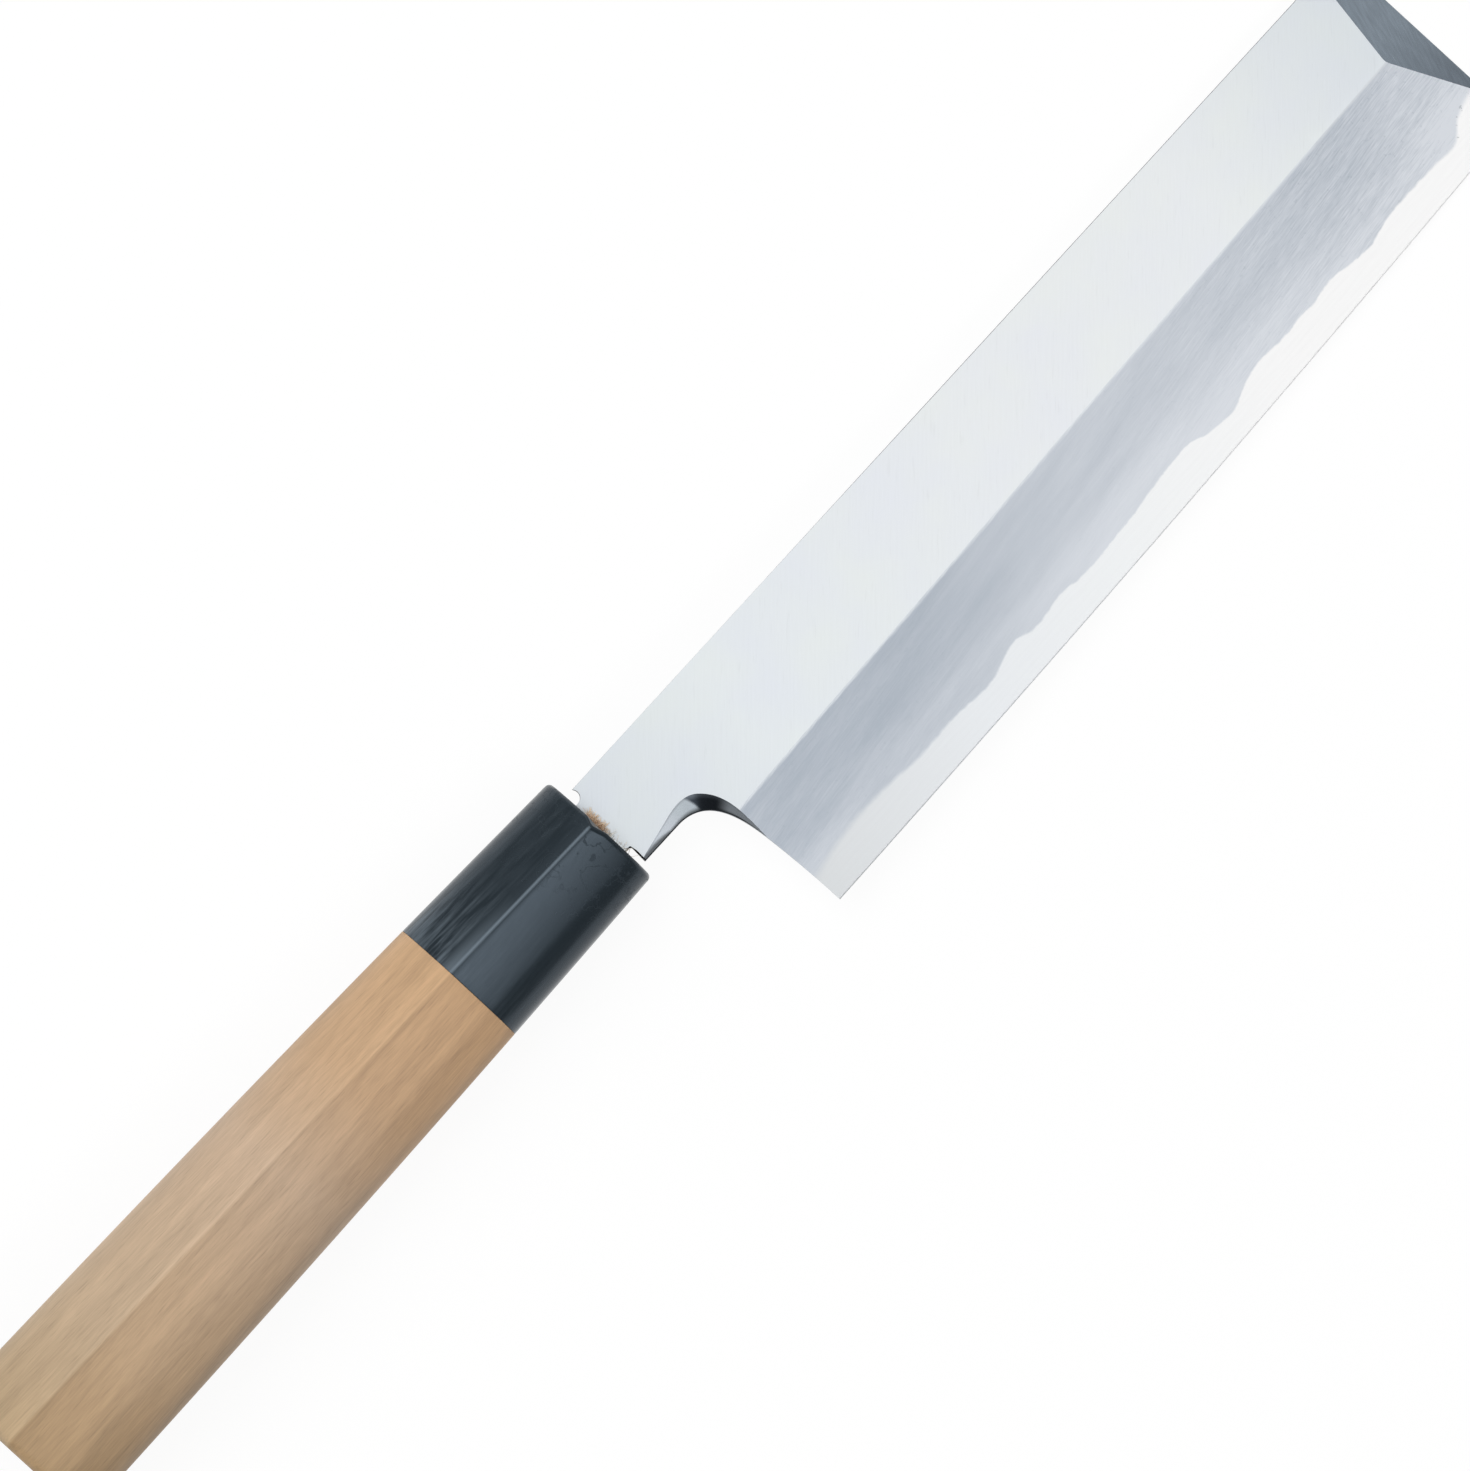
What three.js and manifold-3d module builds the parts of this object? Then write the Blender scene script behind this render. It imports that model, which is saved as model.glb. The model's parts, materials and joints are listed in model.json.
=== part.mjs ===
import * as THREE from "three";
import { mergeVertices } from "three/addons/utils/BufferGeometryUtils.js";
import Module from "manifold-3d";

// A right-handed vegetable knife with a square tip and a single bevel, in millimetres.
// Knife axes: X runs from the ferrule's front face to the tip, Y from the handle's axis to the spine,
// and Z stands on the blade's flat back. The shinogi is the ridge between the flat and the bevel.

// Blade outline
const machiGap = 1.55; // bare tang between the ferrule and the blade's shoulders
const bladeReach = 195.2; // shoulders to square tip
const spineRise = 8.2; // spine above the handle's axis
const neckHeight = 17.6; // spine to the underside of the neck
const neckLength = 8; // straight underside, shoulder to choil
const heelSetback = 17.5; // shoulders to heel corner
const heelHeight = 46.7; // spine to heel corner
const heelLean = 3.2; // degrees that the heel line leans forward
const choilDrop = 12.6; // underside of the neck to where the choil runs into the heel line
const choilNeckPull = 6.4; // how far the choil keeps the neck's direction
const choilHeelPull = 7; // how far it keeps the heel line's direction
const tipHeight = 41.7; // spine to edge at the tip
const edgeBelly = 0.72; // the edge's bow below a straight line

// Blade section
const spineAtNeck = 3.6;
const spineAtTip = 2.2;
const shinogiAtHeel = 3.8;
const shinogiAtTip = 3;
const bevelWidth = 23.4; // edge to shinogi
const edgeLand = 0.1; // blunt width of the cutting edge
const tipWall = 0.9; // thickness left at the square tip
const tipFacetAngle = 14.8; // degrees
const choilBevel = 3.1; // widest part of the bevel round the choil
const choilBevelAngle = 30; // degrees

// Steel layer: how far it shows above the edge at even steps from heel to tip
const steelBand = [6.3, 7.4, 6.2, 5.5, 6, 5.9, 6.8, 5.2, 6.7, 6.3, 5.4, 5.3, 5.5];
const scarfLength = 14; // run-in of the layer behind the shoulders
const spineLap = 3; // over which it thins out to nothing at the spine
const hollowDepth = 0.45; // of the ground hollow in the back
const hollowRim = 4; // flat rim left at spine, tip and heel
const hollowEdgeRim = 2; // flat rim left along the edge

// Tang
const tangLength = 100; // behind the ferrule's front face
const tangWidth = 11.7;
const tangEndWidth = 7;
const tangThickness = 3.2;
const tangEndThickness = 2.2;
const tangRoot = 2; // forged into the blade past the shoulders
const tangRootThickness = 1;
const spineNotchRadius = 1.4; // inside corners at the shoulders
const edgeNotchRadius = 0.5;

// Handle with one ridge along its upper side
const handleLength = 146.9; // ferrule's front face to butt
const ferruleLength = 35.8;
const frontHeight = 23.9;
const buttHeight = 30.4;
const frontDepth = 18; // of the oval without its ridge
const buttDepth = 22.4;
const taperBow = 0.6; // how full the taper is, 0 for a straight one
const ridgeShift = 2.5; // from the axis towards the spine
const ridgeRise = 2; // above the oval
const buttRise = 0.7; // the axis climbs towards the spine at the butt
const ferruleChamfer = 0.9;
const buttRound = 2.2;

// Joints between the pieces
const fitGap = 0.3; // left open round everything that is driven or glued in
const packingFace = 1.3; // fibre on the tang's two faces
const packingSide = 1.2; // fibre at its two edges
const packingDepth = 4; // behind the ferrule's front face
const packingProud = 0.6; // in front of it
const tenonWall = 1.4; // wood round the packing's pocket
const tenonRecess = 0.8; // tenon's end behind the ferrule's front face
const tenonLap = 2; // tenon run into the grip
const boreSpread = 0.6; // wider all round at the grip than at the front
const socketRoom = 6; // empty bore behind the tang

// How finely curves are drawn
const choilSteps = 9;
const notchSteps = 4;
const ovalSteps = 34;
const roundSteps = 8;
const gripSteps = 6;
const ferruleSteps = 3;
const buttSteps = 4;
const hollowSteps = 12;
const stationClear = 1; // least run between a station and a corner
const overcut = 1; // cutters run this far past what they cut
const hollowOvercut = 0.05;

const wasm = await Module();
wasm.setup();

const { degToRad, lerp, clamp } = THREE.MathUtils;

// Places that follow from the sizes
const tipX = machiGap + bladeReach;
const heelX = machiGap + heelSetback;
const heelY = spineRise - heelHeight;
const edgeTipY = spineRise - tipHeight;
const neckY = spineRise - neckHeight;
const axisLift = spineAtNeck / 2;
const edgeLength = tipX - heelX;
const stations = steelBand.map((_, i) => lerp(heelX, tipX, i / (steelBand.length - 1)));

const alongEdge = (x) => (x - heelX) / edgeLength;
const alongBlade = (x) => (x - machiGap) / bladeReach;

function edgeY(x) {
  const t = clamp(alongEdge(x), 0, 1);
  return lerp(heelY, edgeTipY, t) - 4 * edgeBelly * t * (1 - t);
}

const shinogiY = (x) => lerp(heelY, edgeTipY, alongEdge(x)) + bevelWidth;
const spineThickness = (x) => lerp(spineAtNeck, spineAtTip, alongBlade(x));
const shinogiThickness = (x) => lerp(shinogiAtHeel, shinogiAtTip, alongEdge(x));

// Height of the upper face: the flat above the shinogi, the bevel below it
function faceHeight(x, y) {
  const ridge = shinogiY(x);
  if (y >= ridge) {
    const down = (spineRise - y) / (spineRise - ridge);
    return lerp(spineThickness(x), shinogiThickness(x), down);
  }
  const up = (y - edgeY(x)) / (ridge - edgeY(x));
  return lerp(edgeLand, shinogiThickness(x), up);
}

function bandAt(x) {
  const place = clamp(alongEdge(x), 0, 1) * (steelBand.length - 1);
  const before = Math.min(Math.floor(place), steelBand.length - 2);
  return lerp(steelBand[before], steelBand[before + 1], place - before);
}

// Height of the weld between the two layers
function weldHeight(x) {
  const runIn = clamp((x - machiGap) / scarfLength, 0, 1);
  return (bandAt(x) * shinogiThickness(x) * runIn) / bevelWidth;
}

// A point of the blade's plan with the levels of its back, weld and front
let pointCount = 0;
function planPoint(x, y, front = faceHeight(x, y), weld = weldHeight(x), back = 0) {
  pointCount += 1;
  return { id: pointCount, x, y, front, weld, back };
}

const turn = (a, b, c) => (b.x - a.x) * (c.y - a.y) - (b.y - a.y) * (c.x - a.x);
const distance = (a, b) => Math.hypot(b.x - a.x, b.y - a.y);

// Triangles between an upper and a lower row of plan points, both running along +X
function ribbon(upper, lower) {
  const faces = [];
  let i = 0;
  let j = 0;
  while (i < upper.length - 1 || j < lower.length - 1) {
    const above = upper[i + 1];
    const below = lower[j + 1];
    const canRise = above && turn(upper[i], lower[j], above) > 0;
    const canFall = below && turn(upper[i], lower[j], below) > 0;
    const rise = canRise ? distance(lower[j], above) : Infinity;
    const fall = canFall ? distance(upper[i], below) : Infinity;
    if (rise < fall || !below) {
      faces.push([upper[i], lower[j], above]);
      i += 1;
    } else {
      faces.push([upper[i], lower[j], below]);
      j += 1;
    }
  }
  return faces;
}

const fan = (centre, row) => row.slice(1).map((point, i) => [centre, row[i], point]);

function geometryOf(positions) {
  const geometry = new THREE.BufferGeometry();
  geometry.setAttribute("position", new THREE.Float32BufferAttribute(positions, 3));
  return mergeVertices(geometry);
}

// Closed solid between two levels of the same plan triangles
function plate(faces, upper, lower) {
  const positions = [];
  const rim = new Map();
  const put = (point, level) => positions.push(point.x, point.y, point[level]);
  for (const face of faces) {
    face.forEach((point) => put(point, upper));
    face.toReversed().forEach((point) => put(point, lower));
    face.forEach((from, i) => {
      const to = face[(i + 1) % 3];
      const shared = rim.delete(`${to.id} ${from.id}`);
      if (!shared) rim.set(`${from.id} ${to.id}`, [from, to]);
    });
  }
  for (const [from, to] of rim.values()) {
    if (from[upper] > from[lower]) {
      put(from, upper);
      put(from, lower);
      put(to, lower);
    }
    if (to[upper] > to[lower]) {
      put(from, upper);
      put(to, lower);
      put(to, upper);
    }
  }
  return geometryOf(positions);
}

// Closed solid through convex rings of equal count, ordered along +X and wound round it
function loft(rings) {
  const positions = [];
  const put = (...points) => points.forEach((point) => positions.push(...point.toArray()));
  rings.slice(1).forEach((ring, k) => {
    const last = rings[k];
    ring.forEach((point, i) => {
      const next = (i + 1) % ring.length;
      put(last[i], last[next], ring[next]);
      put(last[i], ring[next], point);
    });
  });
  const back = rings[0];
  const front = rings.at(-1);
  for (let i = 1; i < front.length - 1; i += 1) {
    put(front[0], front[i], front[i + 1]);
    put(back[0], back[i + 1], back[i]);
  }
  return geometryOf(positions);
}

function solid(geometry) {
  const vertProperties = geometry.attributes.position.array;
  const triVerts = new Uint32Array(geometry.index.array);
  return new wasm.Manifold(new wasm.Mesh({ numProp: 3, vertProperties, triVerts }));
}

function surface(shape) {
  const { vertProperties, triVerts } = shape.getMesh();
  const geometry = new THREE.BufferGeometry();
  geometry.setAttribute("position", new THREE.BufferAttribute(vertProperties, 3));
  geometry.setIndex(new THREE.BufferAttribute(triVerts, 1));
  geometry.computeVertexNormals();
  return geometry;
}

// Plan of the blade, cut into the flat, the bevel, the steel band, the tip facet and the choil's bevel
function bladePlan() {
  const lapY = spineRise - spineLap;
  const onSpine = (x, front) => planPoint(x, spineRise, front, 0);
  const spineShoulder = onSpine(machiGap);
  const lapShoulder = planPoint(machiGap, lapY);
  const neckShoulder = planPoint(machiGap, neckY);

  // Underside of the neck and the choil, drawn as one path with its bevel inside it
  const lean = Math.tan(degToRad(heelLean));
  const choilEndY = neckY - choilDrop;
  const choilEndX = heelX - lean * (choilEndY - heelY);
  const choil = new THREE.CubicBezierCurve(
    new THREE.Vector2(machiGap + neckLength, neckY),
    new THREE.Vector2(machiGap + neckLength + choilNeckPull, neckY),
    new THREE.Vector2(choilEndX - lean * choilHeelPull, choilEndY + choilHeelPull),
    new THREE.Vector2(choilEndX, choilEndY),
  );
  const underside = new THREE.CurvePath();
  underside.add(new THREE.LineCurve(new THREE.Vector2(machiGap, neckY), choil.v0));
  underside.add(choil);
  const choilEnd = planPoint(choilEndX, choilEndY);
  const outer = [neckShoulder];
  const inner = [];
  for (let i = 1; i < choilSteps; i += 1) {
    const t = i / choilSteps;
    const at = underside.getPointAt(t);
    const tangent = underside.getTangentAt(t);
    const width = choilBevel * Math.sin(Math.PI * t);
    const shown = planPoint(at.x - tangent.y * width, at.y + tangent.x * width);
    const drop = width * Math.tan(degToRad(choilBevelAngle));
    inner.push(shown);
    outer.push(planPoint(at.x, at.y, shown.front - drop));
  }
  outer.push(choilEnd);

  // The shinogi starts where it meets that bevel
  const fallsBelow = (point) => point.y < shinogiY(point.x);
  const crossing = inner.findIndex(fallsBelow);
  const before = inner[crossing - 1];
  const after = inner[crossing];
  const above = before.y - shinogiY(before.x);
  const below = shinogiY(after.x) - after.y;
  const share = above / (above + below);
  const startX = lerp(before.x, after.x, share);
  const shinogiStart = planPoint(startX, lerp(before.y, after.y, share), shinogiThickness(startX));
  inner.splice(crossing, 0, shinogiStart);

  // The tip facet falls to the square tip in one plane
  const facetSlope = Math.tan(degToRad(tipFacetAngle));
  const facetReach = (thickness, fall) => (thickness - tipWall) / (facetSlope + fall);
  const spineFall = (spineAtTip - spineAtNeck) / bladeReach;
  const shinogiFall = (shinogiAtTip - shinogiAtHeel) / edgeLength;
  const facetSpineX = tipX - facetReach(spineAtTip, spineFall);
  const facetShinogiX = tipX - facetReach(shinogiAtTip, shinogiFall);
  const facetFootY = lerp(edgeTipY, shinogiY(tipX), (tipWall - edgeLand) / (shinogiAtTip - edgeLand));
  const facetSpine = onSpine(facetSpineX);
  const facetShinogi = planPoint(facetShinogiX, shinogiY(facetShinogiX), shinogiThickness(facetShinogiX));
  const facetFoot = planPoint(tipX, facetFootY, tipWall);
  const spineTip = onSpine(tipX, tipWall);
  const lapShare = spineLap / (spineRise - facetShinogi.y);
  const facetLapX = lerp(facetSpineX, facetShinogiX, lapShare);
  const facetLap = planPoint(facetLapX, lapY, lerp(facetSpine.front, facetShinogi.front, lapShare));
  const lapTip = planPoint(tipX, lapY, tipWall);

  const middle = stations.slice(1, -1);
  const spineStations = middle.filter((x) => x < facetLapX - stationClear);
  const spine = spineStations.map((x) => onSpine(x));
  const lap = spineStations.map((x) => planPoint(x, lapY));
  const shinogi = middle
    .filter((x) => x < facetShinogiX - stationClear)
    .map((x) => planPoint(x, shinogiY(x), shinogiThickness(x)));
  const edge = stations.map((x) => planPoint(x, edgeY(x), edgeLand, edgeLand));
  const weld = stations.map((x, i) => {
    const shownX = i === 0 ? x - lean * steelBand[0] : x;
    const y = edgeY(x) + steelBand[i];
    const height = faceHeight(x, y);
    return planPoint(shownX, y, height, height);
  });

  const aboveShinogi = inner.slice(0, crossing + 1);
  const belowShinogi = inner.slice(crossing);
  const lapRow = [lapShoulder, ...lap, facetLap];
  const flat = [
    ...ribbon([spineShoulder, ...spine, facetSpine], lapRow),
    ...ribbon(lapRow, [neckShoulder, ...aboveShinogi, ...shinogi, facetShinogi]),
  ];
  const bevel = [
    ...fan(weld[1], [...belowShinogi, choilEnd, weld[0]]),
    ...ribbon([shinogiStart, ...shinogi, facetShinogi, facetFoot], weld.slice(1)),
  ];
  const facet = [
    ...ribbon([facetSpine, spineTip], [facetLap, lapTip]),
    ...ribbon([facetLap, lapTip], [facetShinogi, facetFoot]),
  ];
  const choilFacet = ribbon(inner, outer);
  return { iron: [...flat, ...bevel, ...facet, ...choilFacet], band: ribbon(weld, edge) };
}

const tangTaper = (x) => clamp(-x / tangLength, 0, 1);
const tangWidthAt = (x) => lerp(tangWidth, tangEndWidth, tangTaper(x));
const tangThicknessAt = (x) => lerp(tangThickness, tangEndThickness, tangTaper(x));

// Tang with rounded inside corners where it leaves the shoulders
function tang() {
  const rootX = machiGap + tangRoot;
  const level = (x, y, thickness) =>
    planPoint(x, y, axisLift + thickness / 2, 0, axisLift - thickness / 2);
  const side = (sign, notchRadius) => {
    const radius = Math.min(notchRadius, machiGap);
    const shoulderY = sign * (tangWidth / 2 + radius);
    const corner = (i) => ((i / notchSteps) * Math.PI) / 2;
    const notch = Array.from({ length: notchSteps + 1 }, (_, i) => {
      const x = machiGap - radius + radius * Math.sin(corner(i));
      return level(x, shoulderY - sign * radius * Math.cos(corner(i)), tangThickness);
    });
    const straight = machiGap > radius ? [level(0, (sign * tangWidth) / 2, tangThickness)] : [];
    return [
      level(-tangLength, (sign * tangEndWidth) / 2, tangEndThickness),
      ...straight,
      ...notch,
      level(rootX, shoulderY, tangRootThickness),
    ];
  };
  return plate(ribbon(side(1, spineNotchRadius), side(-1, edgeNotchRadius)), "front", "back");
}

// Shallow lens that the back is hollow-ground to
function hollowCutter() {
  const left = heelX + hollowRim;
  const right = tipX - hollowRim;
  const top = spineRise - hollowRim;
  const rows = [];
  for (let i = 0; i <= hollowSteps; i += 1) {
    const u = i / hollowSteps;
    const x = lerp(left, right, u);
    const bottom = edgeY(x) + hollowEdgeRim;
    const ends = 1 - Math.abs(2 * u - 1) ** 6;
    const row = [];
    for (let j = 0; j <= hollowSteps; j += 1) {
      const v = j / hollowSteps;
      const height = (hollowDepth + hollowOvercut) * ends * (1 - (2 * v - 1) ** 2);
      row.push(planPoint(x, lerp(bottom, top, v), height - hollowOvercut, 0, -overcut));
    }
    rows.push(row);
  }
  const faces = rows.slice(1).flatMap((row, i) =>
    row.slice(1).flatMap((point, j) => [
      [rows[i][j], row[j], point],
      [rows[i][j], point, rows[i][j + 1]],
    ]),
  );
  return plate(faces, "front", "back");
}

// Oval section of the handle drawn out to a ridge on its upper side
function handleRing(x, inset = 0) {
  const t = -x / handleLength;
  const growth = t * (1 + taperBow * (1 - t));
  const halfHeight = lerp(frontHeight, buttHeight, growth) / 2 - inset;
  const halfDepth = lerp(frontDepth, buttDepth, growth) / 2 - inset;
  const ridge = new THREE.Vector2(ridgeShift, halfDepth + ridgeRise);
  const toRidge = new THREE.Vector2(ridge.x / halfHeight, ridge.y / halfDepth);
  const middle = toRidge.angle();
  const spread = Math.acos(1 / toRidge.length());
  const from = middle + spread;
  const to = middle - spread + 2 * Math.PI;
  const oval = new THREE.EllipseCurve(0, 0, halfHeight, halfDepth, from, to);
  const outline = [ridge, ...oval.getPoints(ovalSteps)];
  return outline.map((p) => new THREE.Vector3(x, p.x + buttRise * t, axisLift + p.y));
}

// Flat-sided oval of the packing, its pocket, the tenon and the bore, all concentric with the tang
function ovalRing(x, grow) {
  const radius = tangThickness / 2 + fitGap + packingFace + grow;
  const reach = tangWidth / 2 + fitGap + packingSide + grow - radius;
  const ring = [];
  for (const [side, start] of [[1, -0.5], [-1, 0.5]]) {
    for (let i = 0; i <= roundSteps; i += 1) {
      const angle = (start + i / roundSteps) * Math.PI;
      const y = side * reach + radius * Math.cos(angle);
      ring.push(new THREE.Vector3(x, y, axisLift + radius * Math.sin(angle)));
    }
  }
  return ring;
}

function tangRing(x, grow) {
  const y = tangWidthAt(x) / 2 + grow;
  const z = tangThicknessAt(x) / 2 + grow;
  const corners = [[-y, -z], [y, -z], [y, z], [-y, z]];
  return corners.map(([across, up]) => new THREE.Vector3(x, across, axisLift + up));
}

const tangSlot = () =>
  loft([
    tangRing(-tangLength - socketRoom, fitGap),
    tangRing(-tangLength, fitGap),
    tangRing(0, fitGap),
    tangRing(machiGap, fitGap),
  ]);

const spaced = (from, to, steps) =>
  Array.from({ length: steps + 1 }, (_, i) => lerp(from, to, i / steps));

const pocketGrow = fitGap;
const tenonGrow = pocketGrow + tenonWall;
const boreGrow = tenonGrow + fitGap;

function ferrule() {
  const rings = spaced(-ferruleLength, -ferruleChamfer, ferruleSteps).map((x) => handleRing(x));
  const body = loft([...rings, handleRing(0, ferruleChamfer)]);
  const slope = boreSpread / ferruleLength;
  const bore = loft([
    ovalRing(-ferruleLength - overcut, boreGrow + boreSpread + slope * overcut),
    ovalRing(overcut, boreGrow - slope * overcut),
  ]);
  return surface(solid(body).subtract(solid(bore)));
}

function handleGrip() {
  const shoulder = -ferruleLength - fitGap;
  const butt = spaced(0, Math.PI / 2, buttSteps).map((angle) =>
    handleRing(
      -handleLength + buttRound * (1 - Math.cos(angle)),
      buttRound * (1 - Math.sin(angle)),
    ),
  );
  const length = spaced(-handleLength + buttRound, shoulder, gripSteps).slice(1);
  const grip = loft([...butt, ...length.map((x) => handleRing(x))]);
  const lapX = shoulder - tenonLap;
  const spreadAt = (x) => (boreSpread * -x) / ferruleLength;
  const tenon = loft([
    ovalRing(lapX, tenonGrow + spreadAt(lapX)),
    ovalRing(-tenonRecess, tenonGrow + spreadAt(-tenonRecess)),
  ]);
  const pocket = loft([
    ovalRing(-packingDepth - fitGap, pocketGrow),
    ovalRing(overcut, pocketGrow),
  ]);
  return surface(
    solid(grip).add(solid(tenon)).subtract(solid(tangSlot())).subtract(solid(pocket)),
  );
}

function tangPacking() {
  const plug = loft([ovalRing(-packingDepth, 0), ovalRing(packingProud, 0)]);
  return surface(solid(plug).subtract(solid(tangSlot())));
}

const plan = bladePlan();
const bladeIron = () => surface(solid(plate(plan.iron, "front", "weld")).add(solid(tang())));
const edgeSteel = () =>
  surface(
    solid(plate([...plan.iron, ...plan.band], "weld", "back")).subtract(solid(hollowCutter())),
  );

function piece(name, geometry, color, roughness, metalness) {
  const material = new THREE.MeshStandardMaterial({ color, roughness, metalness, flatShading: true });
  const mesh = new THREE.Mesh(geometry, material);
  mesh.name = name;
  return mesh;
}

// The knife lies on its back: the square tip and the ferrule's lower rim touch the table
const rimX = -ferruleChamfer;
const rimDrop = -Math.min(...handleRing(rimX).map((point) => point.z));
const lying = new THREE.Group();
lying.rotation.y = Math.atan2(rimDrop, tipX - rimX);
lying.add(
  piece("blade_iron", bladeIron(), "#c3c9d0", 0.38, 1),
  piece("edge_steel", edgeSteel(), "#e6e9ec", 0.25, 1),
  piece("ferrule", ferrule(), "#2a2f35", 0.32, 0),
  piece("handle_grip", handleGrip(), "#c2a27c", 0.62, 0),
  piece("tang_packing", tangPacking(), "#96683c", 0.9, 0),
);

// Origin under the middle of its box
const knife = new THREE.Group();
knife.add(lying);
const box = new THREE.Box3().setFromObject(lying, true);
const centre = box.getCenter(new THREE.Vector3());
lying.position.set(-centre.x, -centre.y, -box.min.z);

export default knife;
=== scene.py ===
import json
import math
from functools import partial

import bmesh
import bpy
from mathutils import Matrix, Vector
from mathutils.geometry import delaunay_2d_cdt


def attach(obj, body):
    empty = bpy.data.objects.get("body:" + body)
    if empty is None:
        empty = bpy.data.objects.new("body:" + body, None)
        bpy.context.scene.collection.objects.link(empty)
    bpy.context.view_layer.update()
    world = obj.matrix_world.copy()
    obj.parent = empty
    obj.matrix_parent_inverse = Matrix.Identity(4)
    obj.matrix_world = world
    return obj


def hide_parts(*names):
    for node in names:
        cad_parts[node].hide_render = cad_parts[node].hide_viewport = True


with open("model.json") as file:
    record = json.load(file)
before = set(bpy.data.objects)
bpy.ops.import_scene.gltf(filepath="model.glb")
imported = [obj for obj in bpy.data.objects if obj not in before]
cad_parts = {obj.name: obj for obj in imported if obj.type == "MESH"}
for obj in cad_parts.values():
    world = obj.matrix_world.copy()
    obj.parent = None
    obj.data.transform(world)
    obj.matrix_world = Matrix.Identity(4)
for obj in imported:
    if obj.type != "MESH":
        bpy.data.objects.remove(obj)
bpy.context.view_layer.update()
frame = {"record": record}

# The knife's own axes, in mm: x from the ferrule's front face to the tip, y to the spine, z up from the back.
# It lies a little tilted, and the mount on its back says how.
rackPoint = Vector((105, 6.2, 0))  # the mount's point on the knife
mm = 0.001
mount = frame["record"]["mounts"][0]
knifeUp = -Vector(mount["axis"])
toSpine = Vector((0, 1, 0))
toTip = toSpine.cross(knifeUp)
turned = Matrix((toTip, toSpine, knifeUp)).transposed().to_4x4() @ Matrix.Scale(mm, 4)
place = Matrix.Translation(Vector(mount["pos_m"]) - turned @ rackPoint) @ turned
scene = bpy.context.scene


def mix(a, b, share):
    return a + (b - a) * share


def clamp(value, low=0.0, high=1.0):
    return min(max(value, low), high)


def spaced(start, end, step):  # even steps of about this length
    count = max(round(abs(end - start) / step), 1)
    return [mix(start, end, k / count) for k in range(count + 1)]


def through(points, x):  # smooth curve through a few (x, value) points
    if x <= points[0][0]:
        return points[0][1]
    for k in range(len(points) - 1):
        (x0, a), (x1, b) = points[k], points[k + 1]
        if x <= x1:
            break
    else:
        return b
    before = points[max(k - 1, 0)]
    after = points[min(k + 2, len(points) - 1)]
    startSlope = (b - before[1]) / (x1 - before[0]) * (x1 - x0)
    endSlope = (after[1] - a) / (after[0] - x0) * (x1 - x0)
    t = (x - x0) / (x1 - x0)
    rise = t * t * (3 - 2 * t)
    return mix(a, b, rise) + startSlope * t * (1 - t) ** 2 - endSlope * t * t * (1 - t)


def linear(hexColour):  # sRGB hex to linear
    channels = [int(hexColour[k:k + 2], 16) / 255 for k in (1, 3, 5)]
    return tuple(c / 12.92 if c <= 0.04045 else ((c + 0.055) / 1.055) ** 2.4 for c in channels) + (1,)


def connect(node, inputs):  # each a value, hex colour, socket or node (its first output)
    for key, value in inputs.items():
        if isinstance(value, bpy.types.Node):
            value = next(socket for socket in value.outputs if socket.enabled)
        if isinstance(value, bpy.types.NodeSocket):
            node.id_data.links.new(value, node.inputs[key])
        else:
            isColour = isinstance(value, str) and value.startswith("#")
            node.inputs[key].default_value = linear(value) if isColour else value


def addNode(tree, kind, inputs={}, **settings):
    node = tree.nodes.new(kind)
    for name, value in settings.items():
        setattr(node, name, value)
    connect(node, inputs)
    return node


def startMaterial(name, **sockets):
    material = bpy.data.materials.new(name)
    material.use_nodes = True
    shader = material.node_tree.nodes["Principled BSDF"]
    connect(shader, {key.replace("_", " "): value for key, value in sockets.items()})
    return material, partial(addNode, material.node_tree), shader


def setRamp(node, *stops):  # place and colour of each stop
    elements = node.color_ramp.elements
    for element, (position, colour) in zip(elements, (stops[0], stops[-1])):
        element.position = position
        element.color = linear(colour)
    for position, colour in stops[1:-1]:
        elements.new(position).color = linear(colour)


def setCurve(node, *spots):  # place and level of each point
    points = node.mapping.curves[0].points
    for point, spot in zip(points, (spots[0], spots[-1])):
        point.location = spot
    for position, level in spots[1:-1]:
        points.new(position, level)


def streaks(add, detail, long, wide=None, deep=None, turn=0):  # noise with marks of this size in mm
    wide = wide or long
    where = add("ShaderNodeTexCoord").outputs["Object"]
    spot = add("ShaderNodeMapping", {
        "Vector": where, "Rotation": (0, 0, math.radians(turn)),
        "Scale": (long * mm, wide * mm, (deep or wide) * mm)}, vector_type="TEXTURE")
    return add("ShaderNodeTexNoise", {"Vector": spot, "Scale": 1, "Detail": detail})


def makePiece(name, bm, materials, sharpAngle):
    mesh = bpy.data.meshes.new(name)
    bm.to_mesh(mesh)
    bm.free()
    mesh.transform(place)
    for material in materials:
        mesh.materials.append(material)
    mesh.shade_smooth()
    mesh.set_sharp_from_angle(angle=math.radians(sharpAngle))
    piece = bpy.data.objects.new(name, mesh)
    scene.collection.objects.link(piece)
    return piece


def finishPiece(piece, node):
    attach(piece, "root")
    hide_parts(node)


# Camera: straight down on the knife, which runs up to the right
photo = {
    "width": 1470,
    "pixelsPerMm": 5.82,
    "centre": (27.54, -6.15, 3.0),  # knife point in the middle of the picture
    "turn": 47.5,  # degrees from the picture's bottom edge to the knife
    "distance": 4.0,  # metres
    "clipEnd": 30,
}


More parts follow.
